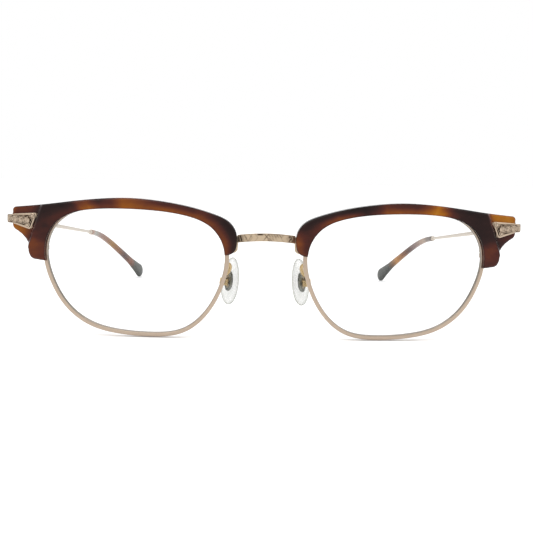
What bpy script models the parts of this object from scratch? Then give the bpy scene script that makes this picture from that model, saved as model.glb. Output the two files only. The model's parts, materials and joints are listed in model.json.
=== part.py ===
"""Browline spectacles: metal rims, bridge and folding temples under acetate brows, with rocking nose pads.

Everything is laid out in the front frame, in millimetres: X to the wearer's left, Y back towards the
face, Z up, with the origin midway between the two lens centres. At the end the whole pair is moved to
stand open on its rims and temple tips. Left pieces are modelled, and right pieces are mirror images.
"""
import math

import bmesh
import bpy
import numpy as np
from mathutils import Matrix, Vector

MM = 0.001

# Driving dimensions, in millimetres and degrees
LENS_CENTRE_X = 35.2
LENS_CURVE_RADIUS = 131.0
FACE_FORM_DEG = 5.0
FRONT_SETBACK = 1.0
GAP = 0.05

RIM_WIDTH = 1.15
RIM_FRONT = 0.35
RIM_BACK = 2.45
GROOVE_DEPTH = 0.5
GROOVE_HALF_WIDTH = 0.5
LENS_THICKNESS = 1.5
LOOP_POINTS = 64

BROW_FRONT = -1.2
BROW_BACK = 2.8
LUG_THICKNESS = 0.5
LUG_REACH = 3.4
LUG_HALF_WIDTH = 0.9
LUG_SCREW_AT = 2.4
INNER_LUG_DEG = 150.0
OUTER_LUG_DEG = 32.0
SCREW_RADIUS = 0.4
SCREW_HEAD_RADIUS = 0.72
SCREW_HEAD_HEIGHT = 0.4
LOCK_X = 61.0
LOCK_Y = 10.2
LOCK_Z = 6.0
LOCK_HALF_HEIGHT = 1.4
LOCK_NECK = 0.6

WING_X = 66.0
WING_Z = 13.0
WING_RECESS = 0.4
WING_THICKNESS = 2.0
PLATE_THICKNESS = 0.6
TONGUE_THICKNESS = 0.6

BRIDGE_HEIGHT = 2.1
BRIDGE_THICKNESS = 1.5
BRIDGE_HALF_SPAN = 7.8
BRIDGE_END_Z = 9.1
BRIDGE_ARCH = 0.65
BRIDGE_BOW = 2.2
FOOT_X = 8.8
FOOT_TOP = 10.0
FOOT_BOTTOM = 5.2
FOOT_DEPTH = 1.35
FOOT_THICKNESS = 1.3

HINGE_X = 69.0
HINGE_Y = 14.0
HINGE_Z = 13.0
KNUCKLE_RADIUS = 1.05
KNUCKLE_HEIGHT = 1.0
PIN_RADIUS = 0.45
FRONT_LEAF_REACH = 2.2
TEMPLE_LEAF_REACH = 4.0
STRIP_X = 70.68
STRIP_THICKNESS = 0.84
STRIP_HEIGHT = 2.3
HINGE_HEAD_RADIUS = 0.85
HINGE_HEAD_HEIGHT = 0.35

TIP_START_RUN = 81.6
TIP_BORE_RUN = 113.0
TEMPLE_RUN = 139.3
WIRE_RADIUS = 0.45
BORE_CLEARANCE = 0.08
FERRULE_LENGTH = 1.5
FERRULE_WIDTHS = (1.25, 1.6, 1.75, 1.75)

PAD_CENTRE = Vector((9.8, 10.2, -3.2))
PAD_LEAN_DEG = 17.0
PAD_SPLAY_DEG = 33.0
PAD_TIP_FORWARD = -0.12
PAD_LENGTH = 13.8
PAD_WIDTH = 7.6
PAD_THICKNESS = 2.2
PAD_PIVOT_DEPTH = 1.9
PAD_PIN_RADIUS = 0.35
PAD_BOX_HALF_WIDTH = 0.85
PAD_BOX_REAR = 1.0
PAD_CORE_HALF_WIDTH = 1.6
PAD_CORE_HALF_LENGTH = 2.9
PAD_CORE_DEPTH = 0.9
ARM_RADIUS = 0.5

# The opening of the left rim about its lens centre, from the temporal side up and round
RIM_OPENING = [
    (24.1, 5.6), (22.4, 10.8), (18.0, 14.7), (11.5, 16.3), (3.0, 16.65), (-5.7, 16.3),
    (-13.9, 15.05), (-20.2, 12.25), (-23.6, 7.2), (-23.9, 1.5), (-22.2, -4.6), (-18.8, -10.6),
    (-13.0, -15.4), (-4.7, -16.7), (4.0, -16.2), (12.0, -14.2), (18.2, -9.7), (22.2, -3.3),
]

# The brow's outer edge: up from its nasal foot, over the top, down the wing's end and round its foot
BROW_ARCH = [
    (10.2, 4.85), (9.0, 5.35), (8.2, 6.5), (7.9, 8.4), (8.15, 10.8), (9.9, 13.5), (14.0, 15.6), (20.0, 17.35),
    (28.0, 18.8), (37.0, 19.5), (44.5, 19.2), (52.0, 18.4), (60.0, 17.3), (69.0, 16.35),
]
BROW_WING_END = [(69.6, 15.7), (69.6, 11.0)]
BROW_LEG = [(69.2, 10.4), (66.9, 8.9), (65.3, 7.0), (64.6, 5.2), (64.2, 3.6), (63.2, 2.55), (61.8, 2.4)]
STEP_TOP = (59.9, 19.0)
STEP_BOTTOM = (65.4, 4.0)
STEP_BEVEL = 0.7

PLATE = [(62.0, 14.95), (69.4, 14.45), (69.4, 11.9), (64.0, 10.25)]
RIVETS = [(63.3, 14.05), (64.75, 11.55)]
RIVET_HEAD_RADIUS = 0.75
RIVET_HEAD_HEIGHT = 0.4
RIVET_REACH = 1.8

# The middle of the temple, from its front end to the end of its tip
TEMPLE_PATH = [
    (STRIP_X, 14.1, 13.0), (68.4, 42.0, 9.95), (66.0, 70.0, 6.9), (64.0, 94.0, 4.3),
    (63.1, 103.0, 3.1), (61.4, 112.0, 0.7), (58.4, 122.5, -4.0), (54.9, 134.5, -10.0), (51.4, 146.8, -16.53),
]

TORTOISE = ((0.20, 0.055, 0.018), 0.22, 0.0)
GOLD = ((0.62, 0.47, 0.35), 0.32, 1.0)
CLEAR = ((0.9, 0.92, 0.92), 0.08, 0.0)
STEEL = ((0.55, 0.54, 0.52), 0.3, 1.0)


def spline(points, count, closed=False):
    """Evenly spaced points on a cubic spline through the given ones, periodic or natural at its ends."""
    p = np.array(points, float)
    if closed:
        p = np.vstack([p, p[:1]])
    step = np.linalg.norm(np.diff(p, axis=0), axis=1)
    slope = np.diff(p, axis=0) / step[:, None]
    last = len(p) - 1
    system, right = np.zeros((last + 1, last + 1)), np.zeros_like(p)
    for i in range(1, last):
        system[i, i - 1:i + 2] = step[i - 1], 2 * (step[i - 1] + step[i]), step[i]
        right[i] = 6 * (slope[i] - slope[i - 1])
    system[0, 0] = system[last, last] = 1
    if closed:
        system[0, [0, 1, last - 1]] = 2 * (step[-1] + step[0]), step[0], step[-1]
        right[0] = 6 * (slope[0] - slope[-1])
        system[last, 0] = -1
    bend = np.linalg.solve(system, right)
    t = np.linspace(0, 1, 24, endpoint=False)[:, None]
    fine = []
    for i, h in enumerate(step):
        cubic = ((1 - t) ** 3 - (1 - t)) * bend[i] + (t ** 3 - t) * bend[i + 1]
        fine.append((1 - t) * p[i] + t * p[i + 1] + h * h / 6 * cubic)
    fine = np.vstack([*fine, p[-1:]])
    run = np.append(0, np.cumsum(np.linalg.norm(np.diff(fine, axis=0), axis=1)))
    at = np.linspace(0, run[-1], count, endpoint=not closed)
    return np.column_stack([np.interp(at, run, column) for column in fine.T])


def front_face(x, z):
    """How far back the front's curved face lies at a point: a lens sphere turned by the face form."""
    across = abs(x) - LENS_CENTRE_X
    sag = (across * across + z * z) / (2 * LENS_CURVE_RADIUS)
    return FRONT_SETBACK + across * math.sin(math.radians(FACE_FORM_DEG)) + sag


def on_front(x, depth, z):
    return Vector((x, front_face(x, z) + depth, z))


def seat(x, z):
    """A local frame on the front face: X along the face, Y back through it, Z up the face."""
    step = 0.5
    along = (on_front(x + step, 0, z) - on_front(x - step, 0, z)).normalized()
    rise = on_front(x, 0, z + step) - on_front(x, 0, z - step)
    back = rise.cross(along).normalized()
    turn = Matrix((along, back, along.cross(back))).transposed().to_4x4()
    return Matrix.Translation(on_front(x, 0, z)) @ turn


def on_wing(x, depth, z):
    """A point on the brow's flat outer wing, which the corner plate lies on."""
    ahead, behind = front_face(WING_X - 1, WING_Z), front_face(WING_X + 1, WING_Z)
    return Vector((x, (ahead + behind) / 2 + (behind - ahead) / 2 * (x - WING_X) + WING_RECESS + depth, z))


def through_wing(x, z, distance):
    """A point on the line that goes square through the wing, this far behind its face."""
    along = on_wing(x + 1, 0, z) - on_wing(x, 0, z)
    return on_wing(x, 0, z) + Vector((0, 0, 1)).cross(along).normalized() * distance


def opening():
    """The rim's opening as a loop of (x, z), with its outward unit normals."""
    loop = spline([(LENS_CENTRE_X + x, z) for x, z in RIM_OPENING], LOOP_POINTS, closed=True)
    along = np.roll(loop, -1, axis=0) - np.roll(loop, 1, axis=0)
    along /= np.linalg.norm(along, axis=1)[:, None]
    return loop, np.column_stack([along[:, 1], -along[:, 0]])


def mesh_of(shape):
    bmesh.ops.recalc_face_normals(shape, faces=shape.faces)
    mesh = bpy.data.meshes.new("shape")
    shape.to_mesh(mesh)
    shape.free()
    return mesh


def loft(rings, closed=False):
    """A solid whose skin joins rings of points in turn. An open one has a flat cap at each end."""
    shape = bmesh.new()
    rows = [[shape.verts.new(point) for point in ring] for ring in rings]
    for low, high in zip(rows, rows[1:] + (rows[:1] if closed else [])):
        for i in range(len(low)):
            k = (i + 1) % len(low)
            shape.faces.new((low[i], low[k], high[k], high[i]))
    if not closed:
        shape.faces.new(rows[0])
        shape.faces.new(rows[-1])
    return mesh_of(shape)


def box(low, high, turn=Matrix()):
    low, high = Vector(low), Vector(high)
    shape = bmesh.new()
    size = Matrix.Diagonal((*(high - low), 1))
    bmesh.ops.create_cube(shape, size=1, matrix=turn @ Matrix.Translation((low + high) / 2) @ size)
    return mesh_of(shape)


def rod(start, end, radius, sides=16):
    start, end = Vector(start), Vector(end)
    turn = (end - start).to_track_quat("Z", "Y").to_matrix().to_4x4()
    shape = bmesh.new()
    bmesh.ops.create_cone(
        shape, cap_ends=True, segments=sides, radius1=radius, radius2=radius,
        depth=(end - start).length, matrix=Matrix.Translation((start + end) / 2) @ turn,
    )
    return mesh_of(shape)


def combined(mesh, operation, others):
    """The mesh after an exact Boolean with each of the others in turn."""
    for other in others:
        body = bpy.data.objects.new("body", mesh)
        tool = bpy.data.objects.new("tool", other)
        for holder in (body, tool):
            bpy.context.scene.collection.objects.link(holder)
        boolean = body.modifiers.new("boolean", "BOOLEAN")
        boolean.operation = operation
        boolean.solver = "EXACT"
        boolean.object = tool
        graph = bpy.context.evaluated_depsgraph_get()
        mesh = bpy.data.meshes.new_from_object(body.evaluated_get(graph))
        bpy.data.objects.remove(body)
        bpy.data.objects.remove(tool)
    return mesh


def cut(mesh, *tools):
    return combined(mesh, "DIFFERENCE", tools)


def fuse(mesh, *others):
    return combined(mesh, "UNION", others)


def mirrored(mesh):
    shape = bmesh.new()
    shape.from_mesh(mesh)
    bmesh.ops.scale(shape, vec=(-1, 1, 1), verts=shape.verts)
    bmesh.ops.reverse_faces(shape, faces=shape.faces)
    return mesh_of(shape)


def material(name, finish):
    colour, roughness, metallic = finish
    made = bpy.data.materials.new(name)
    made.use_nodes = True
    shader = made.node_tree.nodes["Principled BSDF"]
    shader.inputs["Base Color"].default_value = (*colour, 1)
    shader.inputs["Roughness"].default_value = roughness
    shader.inputs["Metallic"].default_value = metallic
    return made


def pivot(name, parent=None, point=(0, 0, 0)):
    """An empty at a point of the front frame, which pieces hang from."""
    made = bpy.data.objects.new(name, None)
    bpy.context.scene.collection.objects.link(made)
    made.parent = parent
    made.location = Vector(point) * MM
    return made


def add(name, mesh, finish, holder):
    """A named object made from a mesh in the front frame, with its origin at its holder."""
    mesh.transform(Matrix.Translation(-holder.location) @ Matrix.Diagonal((MM, MM, MM, 1)))
    mesh.name = name
    mesh.shade_smooth()
    mesh.set_sharp_from_angle(angle=math.radians(35))
    mesh.materials.clear()
    mesh.materials.append(material(name, finish))
    made = bpy.data.objects.new(name, mesh)
    bpy.context.scene.collection.objects.link(made)
    made.parent = holder


def add_pair(name, mesh, finish, holders):
    right = mirrored(mesh)
    add(f"{name}_left", mesh, finish, holders["left"])
    add(f"{name}_right", right, finish, holders["right"])


def screw(start, end, head_end, radius=SCREW_RADIUS, head_radius=SCREW_HEAD_RADIUS):
    """A shank from end to start, a head on from start to head_end, and a slot across the head."""
    start, end, head_end = Vector(start), Vector(end), Vector(head_end)
    along = (head_end - start).normalized()
    made = fuse(rod(end, start + along * GAP, radius), rod(start, head_end, head_radius))
    turn = Matrix.Translation(head_end) @ along.to_track_quat("Z", "Y").to_matrix().to_4x4()
    return cut(made, box((-1, -0.1, -0.18), (1, 0.1, 1), turn))


def lug(bearing):
    """A tab on the rim's back that laps over the brow, and its frame, with X pointing off the rim."""
    loop, normal = opening()
    arm = loop - (LENS_CENTRE_X, 0)
    turned = np.degrees(np.arctan2(arm[:, 1], arm[:, 0])) % 360
    k = int(np.argmin(abs(turned - bearing)))
    behind = BROW_BACK + 2 * GAP
    inner, outer, sunk = 0.2, RIM_WIDTH - 0.1, RIM_BACK - 0.3
    top = behind + LUG_THICKNESS
    section = ((inner, sunk), (outer, sunk), (outer, top), (inner, top))
    rings = []
    for i in (k, k + 1):
        edge = [(loop[i] + normal[i] * n, depth) for n, depth in section]
        rings.append([on_front(x, depth, z) for (x, z), depth in edge])
    out = normal[k] + normal[k + 1]
    x, z = (loop[k] + loop[k + 1]) / 2
    at = seat(x, z) @ Matrix.Rotation(-math.atan2(out[1], out[0]), 4, "Y")
    plate = box((2 * inner, behind, -LUG_HALF_WIDTH), (LUG_REACH, top, LUG_HALF_WIDTH), at)
    return at @ Matrix.Translation((LUG_SCREW_AT, 0, 0)), fuse(plate, loft(rings))


def rims_and_lenses(holders):
    loop, normal = opening()
    middle = (RIM_FRONT + RIM_BACK) / 2
    section = [
        (0, RIM_FRONT), (0, middle - GROOVE_HALF_WIDTH), (GROOVE_DEPTH, middle),
        (0, middle + GROOVE_HALF_WIDTH), (0, RIM_BACK), (RIM_WIDTH, RIM_BACK), (RIM_WIDTH, RIM_FRONT),
    ]
    rings = []
    for point, out in zip(loop, normal):
        edge = [(point + out * n, depth) for n, depth in section]
        rings.append([on_front(x, depth, z) for (x, z), depth in edge])
    rim = loft(rings, closed=True)

    low_z, high_z = LOCK_Z - LOCK_HALF_HEIGHT, LOCK_Z + LOCK_HALF_HEIGHT
    near_x = LOCK_X - 1.5
    block = box((near_x, LOCK_Y - 1.0, low_z), (LOCK_X + 0.9, LOCK_Y + 0.9, high_z))
    neck = box((near_x, LOCK_Y - 2.2, low_z), (near_x + LOCK_NECK, LOCK_Y - 0.8, high_z))
    split = box((LOCK_X - 3, LOCK_Y - 5, LOCK_Z - 2 * GAP), (LOCK_X + 2, LOCK_Y + 2, LOCK_Z + 2 * GAP))
    head = Vector((LOCK_X, LOCK_Y, low_z - GAP))
    end = Vector((LOCK_X, LOCK_Y, high_z - 2 * GAP))
    up = Vector((0, 0, 1))
    hole = rod(head - up, end + up, SCREW_RADIUS + GAP)
    add_pair("rim_screw", screw(head, end, head - up * SCREW_HEAD_HEIGHT), STEEL, holders)

    rim = fuse(rim, block, neck)
    holes = [split, hole]
    brow_holes = []
    for name, bearing in (("inner", INNER_LUG_DEG), ("outer", OUTER_LUG_DEG)):
        at, tab = lug(bearing)
        rim = fuse(rim, tab)
        seat_y = BROW_BACK + 2 * GAP + LUG_THICKNESS + GAP
        bore = rod(at @ Vector((0, 0.9, 0)), at @ Vector((0, 5, 0)), SCREW_RADIUS + GAP)
        holes.append(bore)
        brow_holes.append(bore.copy())
        top = at @ Vector((0, seat_y + SCREW_HEAD_HEIGHT, 0))
        fastener = screw(at @ Vector((0, seat_y, 0)), at @ Vector((0, 1.0, 0)), top)
        add_pair(f"brow_screw_{name}", fastener, STEEL, holders)
    add_pair("rim", cut(rim, *holes), GOLD, holders)

    ridge = GROOVE_DEPTH - 2 * GAP
    half = LENS_THICKNESS / 2
    levels = [(0.02, half), (0.5, half), (1.0, half * 0.8)]
    front = [(scale, -GAP * 2, middle - depth) for scale, depth in levels]
    back = [(scale, -GAP * 2, middle + depth) for scale, depth in reversed(levels)]
    centre = np.array((LENS_CENTRE_X, 0))
    rings = []
    for scale, offset, depth in [*front, (1.0, ridge, middle), *back]:
        outline = centre + (loop + normal * offset - centre) * scale
        rings.append([on_front(x, depth, z) for x, z in outline])
    add_pair("lens", loft(rings), CLEAR, holders)
    return brow_holes


def brows(holders, brow_holes):
    """Acetate brows: sections along rays from the lens centre, rebated behind for the rim."""
    wing_end = np.linspace(*np.array(BROW_WING_END), 6)
    outer = np.vstack([spline(BROW_ARCH, 54), wing_end, spline(BROW_LEG, 16)])
    centre = np.array((LENS_CENTRE_X, 0))
    loop, normal = opening()

    def radius_at(angle, offset):
        arm = loop + normal * offset - centre
        bearing = np.degrees(np.arctan2(arm[:, 1], arm[:, 0])) % 360
        order = np.argsort(bearing)
        return np.interp(angle, bearing[order], np.hypot(*arm.T)[order], period=360)

    rings = []
    for point in outer:
        x, z = point - centre
        angle = math.degrees(math.atan2(z, x))
        ray = (point - centre) / math.hypot(x, z)
        lip = centre + ray * radius_at(angle, 0.0)
        rebate = centre + ray * radius_at(angle, RIM_WIDTH + GAP)
        section = [
            (point, BROW_FRONT), (lip, BROW_FRONT), (lip, RIM_FRONT - GAP),
            (rebate, RIM_FRONT - GAP), (rebate, BROW_BACK), (point, BROW_BACK),
        ]
        rings.append([on_front(x, depth, z) for (x, z), depth in section])
    brow = loft(rings)

    outline = [STEP_TOP, (74, STEP_TOP[1]), (74, STEP_BOTTOM[1]), STEP_BOTTOM]
    inner = [(x + (STEP_BEVEL if x < WING_X else 0), z) for x, z in outline]
    step = loft([[on_wing(x, -7, z) for x, z in outline], [on_wing(x, -1.7, z) for x, z in outline],
                 [on_wing(x, 0, z) for x, z in inner]])
    rivet_holes = [
        rod(through_wing(x, z, -3), through_wing(x, z, 4), PIN_RADIUS + GAP) for x, z in RIVETS
    ]
    notch = bridge_foot(1, 0.08)
    back_plane = [(65.5, 18), (72, 18), (72, 8), (65.5, 8)]
    relief = loft([[on_wing(x, depth, z) for x, z in back_plane] for depth in (WING_THICKNESS, 6)])
    add_pair("brow", cut(brow, step, notch, relief, *brow_holes, *rivet_holes), TORTOISE, holders)


def corners(holders):
    """The corner plate, its rivets, and the endpiece whose tongue lies on it and wraps back."""
    face = -GAP - PLATE_THICKNESS
    plate = loft([[on_wing(x, depth, z) for x, z in PLATE] for depth in (face, -GAP)])
    holes = [rod(through_wing(x, z, -3), through_wing(x, z, 1), PIN_RADIUS + GAP) for x, z in RIVETS]
    add_pair("corner_plate", cut(plate, *holes), GOLD, holders)
    for name, (x, z) in zip(("upper", "lower"), RIVETS):
        under = through_wing(x, z, face - GAP)
        top = through_wing(x, z, face - GAP - RIVET_HEAD_HEIGHT)
        shank = rod((under + top) / 2, through_wing(x, z, RIVET_REACH), PIN_RADIUS)
        head = rod(top, under, RIVET_HEAD_RADIUS)
        add_pair(f"rivet_{name}", fuse(shank, head), GOLD, holders)

    lay = face - 2 * GAP - TONGUE_THICKNESS / 2
    half = TONGUE_THICKNESS / 2
    route = [
        (on_wing(66.0, lay, 12.8), half, 0.75), (on_wing(68.0, lay, 13.0), half, 1.0),
        (on_wing(69.7, lay, 13.15), half, STRIP_HEIGHT / 2),
        (on_wing(70.45, lay + 0.4, 13.15), 0.36, STRIP_HEIGHT / 2),
        (Vector((STRIP_X, 10.2, 13.1)), STRIP_THICKNESS / 2, STRIP_HEIGHT / 2),
        (Vector((STRIP_X, HINGE_Y - 0.1, HINGE_Z)), STRIP_THICKNESS / 2, STRIP_HEIGHT / 2),
    ]
    rings = []
    for i, (point, thick, tall) in enumerate(route):
        ahead, behind = route[min(i + 1, len(route) - 1)][0], route[max(i - 1, 0)][0]
        along = (ahead - behind).normalized()
        out = along.cross(Vector((0, 0, 1))).normalized() * thick
        rise = Vector((0, 0, tall))
        rings.append([point + out - rise, point + out + rise, point - out + rise, point - out - rise])
    add_pair("endpiece", loft(rings), GOLD, holders)


def hinges(front_holders, temple_holders):
    """Three-knuckle hinges: two knuckles on the endpiece, one on the temple, and a screw through all."""
    axis = Vector((HINGE_X, HINGE_Y, HINGE_Z))
    inner = STRIP_X - STRIP_THICKNESS / 2 - GAP

    def knuckle(low, high, reach):
        made = rod(axis + Vector((0, 0, low)), axis + Vector((0, 0, high)), KNUCKLE_RADIUS, 20)
        near, far = sorted((0, reach))
        web = box((HINGE_X, HINGE_Y + near, HINGE_Z + low), (inner, HINGE_Y + far, HINGE_Z + high))
        return fuse(made, web)

    half = KNUCKLE_HEIGHT / 2
    tall = half + GAP + KNUCKLE_HEIGHT
    clear = KNUCKLE_RADIUS + 0.15
    hole = rod(axis + Vector((0, 0, -4)), axis + Vector((0, 0, 4)), PIN_RADIUS + GAP)
    low_z, high_z = HINGE_Z - tall, HINGE_Z + tall
    leaf = box((HINGE_X + 0.4, HINGE_Y - FRONT_LEAF_REACH, low_z), (inner, HINGE_Y - clear, high_z))
    front = fuse(leaf, knuckle(half + GAP, tall, -clear - 0.2), knuckle(-tall, -half - GAP, -clear - 0.2))
    add_pair("hinge_front", cut(front, hole), STEEL, front_holders)
    leaf = box((HINGE_X + 0.4, HINGE_Y + clear, low_z), (inner - 0.1, HINGE_Y + TEMPLE_LEAF_REACH, high_z))
    back = fuse(leaf, knuckle(-half, half, clear + 0.2))
    start, onward = (Vector(point) for point in TEMPLE_PATH[:2])
    along = (onward - start).normalized()
    wide, tall_enough = STRIP_THICKNESS + 2 * GAP, 3 * STRIP_HEIGHT
    strip_space = swept([start - along, start + along * 9], [wide] * 2, [tall_enough] * 2, 4, 0)
    add_pair("hinge_temple", cut(back, hole.copy(), strip_space), STEEL, temple_holders)
    top = axis + Vector((0, 0, tall + GAP))
    end = axis - Vector((0, 0, tall))
    head = top + Vector((0, 0, HINGE_HEAD_HEIGHT))
    fastener = screw(top, end, head, PIN_RADIUS, HINGE_HEAD_RADIUS)
    add_pair("hinge_screw", fastener, STEEL, front_holders)


def swept(points, widths, heights, sides=12, squareness=1.0):
    """A bar along points, oval in section: widths are level and heights are square to the path."""
    points = [Vector(p) for p in points]
    angles = np.arange(sides) * 2 * math.pi / sides + math.pi / sides
    rings = []
    for i, point in enumerate(points):
        ahead, behind = points[min(i + 1, len(points) - 1)], points[max(i - 1, 0)]
        along = (ahead - behind).normalized()
        side = along.cross(Vector((0, 0, 1))).normalized()
        up = side.cross(along)
        ring = []
        for angle in angles:
            c, s = math.cos(angle), math.sin(angle)
            wide = math.copysign(abs(c) ** squareness, c) * widths[i] / 2
            tall = math.copysign(abs(s) ** squareness, s) * heights[i] / 2
            ring.append(point + side * wide + up * tall)
        rings.append(ring)
    return loft(rings)


def temples(holders):
    path = spline(TEMPLE_PATH, 141)
    run = np.linspace(0, TEMPLE_RUN, len(path))

    def stretch(start, end, count):
        at = np.linspace(start, end, count)
        return at, np.column_stack([np.interp(at, run, column) for column in path.T])

    at, points = stretch(0, TIP_BORE_RUN - 1, 30)
    tall = np.interp(at, (0, 6, 24, 70, TIP_START_RUN), (STRIP_HEIGHT, 2.0, 1.4, 1.0, 2 * WIRE_RADIUS))
    wide = np.interp(at, (0, 24, 70, TIP_START_RUN), (STRIP_THICKNESS, 0.84, 0.88, 2 * WIRE_RADIUS))
    add_pair("temple", swept(points, wide, tall, 8), GOLD, holders)

    thick = 2 * (WIRE_RADIUS + BORE_CLEARANCE)
    at, points = stretch(TIP_START_RUN - 2.5, TIP_BORE_RUN, 16)
    bore = swept(points, np.full(16, thick), np.full(16, thick), 8)
    at, points = stretch(TIP_START_RUN - FERRULE_LENGTH, TIP_START_RUN - GAP, len(FERRULE_WIDTHS))
    ferrule = swept(points, FERRULE_WIDTHS, FERRULE_WIDTHS)
    add_pair("tip_ferrule", cut(ferrule, bore), GOLD, holders)

    at, points = stretch(TIP_START_RUN, TEMPLE_RUN, 30)
    left = TEMPLE_RUN - at
    rounding = np.sqrt(np.clip(1 - (1 - np.clip(left / 3.4, 0.02, 1)) ** 2, 0.02, 1))
    tall = np.interp(left, (0, 3.5, 7, 14, 26, 57), (5.5, 5.4, 4.4, 2.9, 2.3, 1.9)) * rounding
    wide = np.interp(left, (0, 10, 26, 57), (2.0, 2.1, 2.2, 1.9)) * rounding ** 0.7
    tip = swept(points, wide, tall, 12, 0.85)
    add_pair("temple_tip", cut(tip, bore.copy()), TORTOISE, holders)


def bridge_foot(side, clearance=0.0):
    """The strip at an end of the bridge that runs down behind the brow to the rim's nasal side."""
    loop, normal = opening()
    rim_side = (loop + normal * (RIM_WIDTH + GAP))[loop[:, 0] < LENS_CENTRE_X]
    rim_side = rim_side[np.argsort(rim_side[:, 1])]
    rings = []
    for z in np.linspace(FOOT_TOP + clearance, FOOT_BOTTOM - clearance, 12):
        far = np.interp(z, rim_side[:, 1], rim_side[:, 0]) - GAP + 10 * clearance
        near = np.interp(z, (FOOT_BOTTOM, FOOT_BOTTOM + 0.8, FOOT_TOP), (8.5, 7.75, 7.5)) - clearance
        low = front_face(FOOT_X, z) + FOOT_DEPTH - clearance
        high = low + FOOT_THICKNESS + 20 * clearance
        corners_at = ((near, low), (far, low), (far, high), (near, high))
        rings.append([Vector((side * x, y, z)) for x, y in corners_at])
    return loft(rings)


def bridge(holder):
    """A bar arched up and forward, with a foot at each end."""
    rings = []
    half = BRIDGE_HEIGHT / 2
    for x in np.linspace(-BRIDGE_HALF_SPAN, BRIDGE_HALF_SPAN, 21):
        arch = 1 - (x / BRIDGE_HALF_SPAN) ** 2
        rise = BRIDGE_END_Z + BRIDGE_ARCH * arch
        front = front_face(FOOT_X, FOOT_TOP) + FOOT_DEPTH - 0.2 - BRIDGE_BOW * arch
        back = front + BRIDGE_THICKNESS
        edge = 0.4
        section = (
            (front + edge / 2, rise - half), (front, rise - half + edge), (front, rise + half - edge),
            (front + edge / 2, rise + half), (back, rise + half), (back, rise - half),
        )
        rings.append([Vector((x, y, z)) for y, z in section])
    add("bridge", fuse(loft(rings), bridge_foot(-1), bridge_foot(1)), GOLD, holder)


def pad_frame():
    """The left pad's frame: X along its width, Y out of its skin face, Z up its length."""
    splay, lean = math.radians(PAD_SPLAY_DEG), math.radians(PAD_LEAN_DEG)
    face = Vector((-math.cos(splay), math.sin(splay), 0))
    up = Vector((-math.sin(lean), PAD_TIP_FORWARD, math.cos(lean)))
    up = (up - face * up.dot(face)).normalized()
    width = face.cross(up)
    turn = Matrix((width, face, up)).transposed().to_4x4()
    return Matrix.Translation(PAD_CENTRE) @ turn


def pads(front_holders, pad_holders):
    frame = pad_frame()
    turns = np.arange(24) * 2 * math.pi / 24

    def outline(scale, depth):
        wide = scale * PAD_WIDTH / 2 * np.cos(turns) * (1 - 0.12 * np.sin(turns))
        tall = scale * PAD_LENGTH / 2 * np.sin(turns)
        return [frame @ Vector((x, depth, z)) for x, z in zip(wide, tall)]

    half = PAD_THICKNESS / 2
    levels = ((0.72, -half), (0.9, -0.6 * half), (1.0, 0), (0.97, 0.6 * half), (0.86, half))
    shell = loft([outline(scale, depth) for scale, depth in levels])
    wide, tall = PAD_CORE_HALF_WIDTH, PAD_CORE_HALF_LENGTH
    room = 2 * GAP
    pocket = box((-wide - room, -2, -tall - room), (wide + room, room, tall + room), frame)
    add_pair("nose_pad", cut(shell, pocket), CLEAR, pad_holders)

    plate = box((-wide, -PAD_CORE_DEPTH, -tall), (wide, 0.0, tall), frame)
    boss = box((-0.5, -PAD_PIVOT_DEPTH - 0.55, -0.8), (0.5, -0.7, 0.8), frame)
    axis_low, axis_high = (frame @ Vector((x, -PAD_PIVOT_DEPTH, 0)) for x in (-3, 3))
    hole = rod(axis_low, axis_high, PAD_PIN_RADIUS + GAP, 12)
    add_pair("pad_core", cut(fuse(plate, boss), hole), GOLD, pad_holders)

    low, high = -PAD_PIVOT_DEPTH - PAD_BOX_REAR, -PAD_PIVOT_DEPTH + 0.75
    clevis = cut(
        box((-PAD_BOX_HALF_WIDTH, low, -0.9), (PAD_BOX_HALF_WIDTH, high, 0.9), frame),
        box((-0.58, -PAD_PIVOT_DEPTH - 0.75, -2), (0.58, 0, 2), frame), hole.copy(),
    )
    add_pair("pad_box", clevis, GOLD, front_holders)
    reach = PAD_BOX_HALF_WIDTH + GAP
    start, end, head = (frame @ Vector((x, -PAD_PIVOT_DEPTH, 0)) for x in (reach, -reach, reach + 0.3))
    add_pair("pad_screw", screw(start, end, head, PAD_PIN_RADIUS, 0.6), STEEL, front_holders)

    box_top = frame @ Vector((0, (low + high) / 2, 0.9 + 2 * GAP))
    route = [
        on_front(11.15, RIM_BACK + GAP + 0.45, 1.6), Vector((10.3, 4.6, 2.15)), Vector((9.8, 5.1, 1.6)),
        Vector((9.95, 5.9, 0.3)), Vector((10.55, 6.95, -0.8)), Vector((11.25, 8.0, -1.35)), box_top,
    ]
    count = 16
    thick = np.full(count, 2 * ARM_RADIUS)
    add_pair("pad_arm", swept(spline(route, count), thick, thick, 8), GOLD, front_holders)


def stand_open(front):
    """Moves the pair so that it stands on z = 0, with the middle of its box over the origin."""
    bpy.context.view_layer.update()
    corners_seen = [
        piece.matrix_world @ vertex.co
        for piece in bpy.context.scene.objects if piece.type == "MESH" for vertex in piece.data.vertices
    ]
    low, high = (Vector(pick(axis) for axis in zip(*corners_seen)) for pick in (min, max))
    front.location = (-(low.x + high.x) / 2, -(low.y + high.y) / 2, -low.z)
    bpy.context.view_layer.update()


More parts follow.
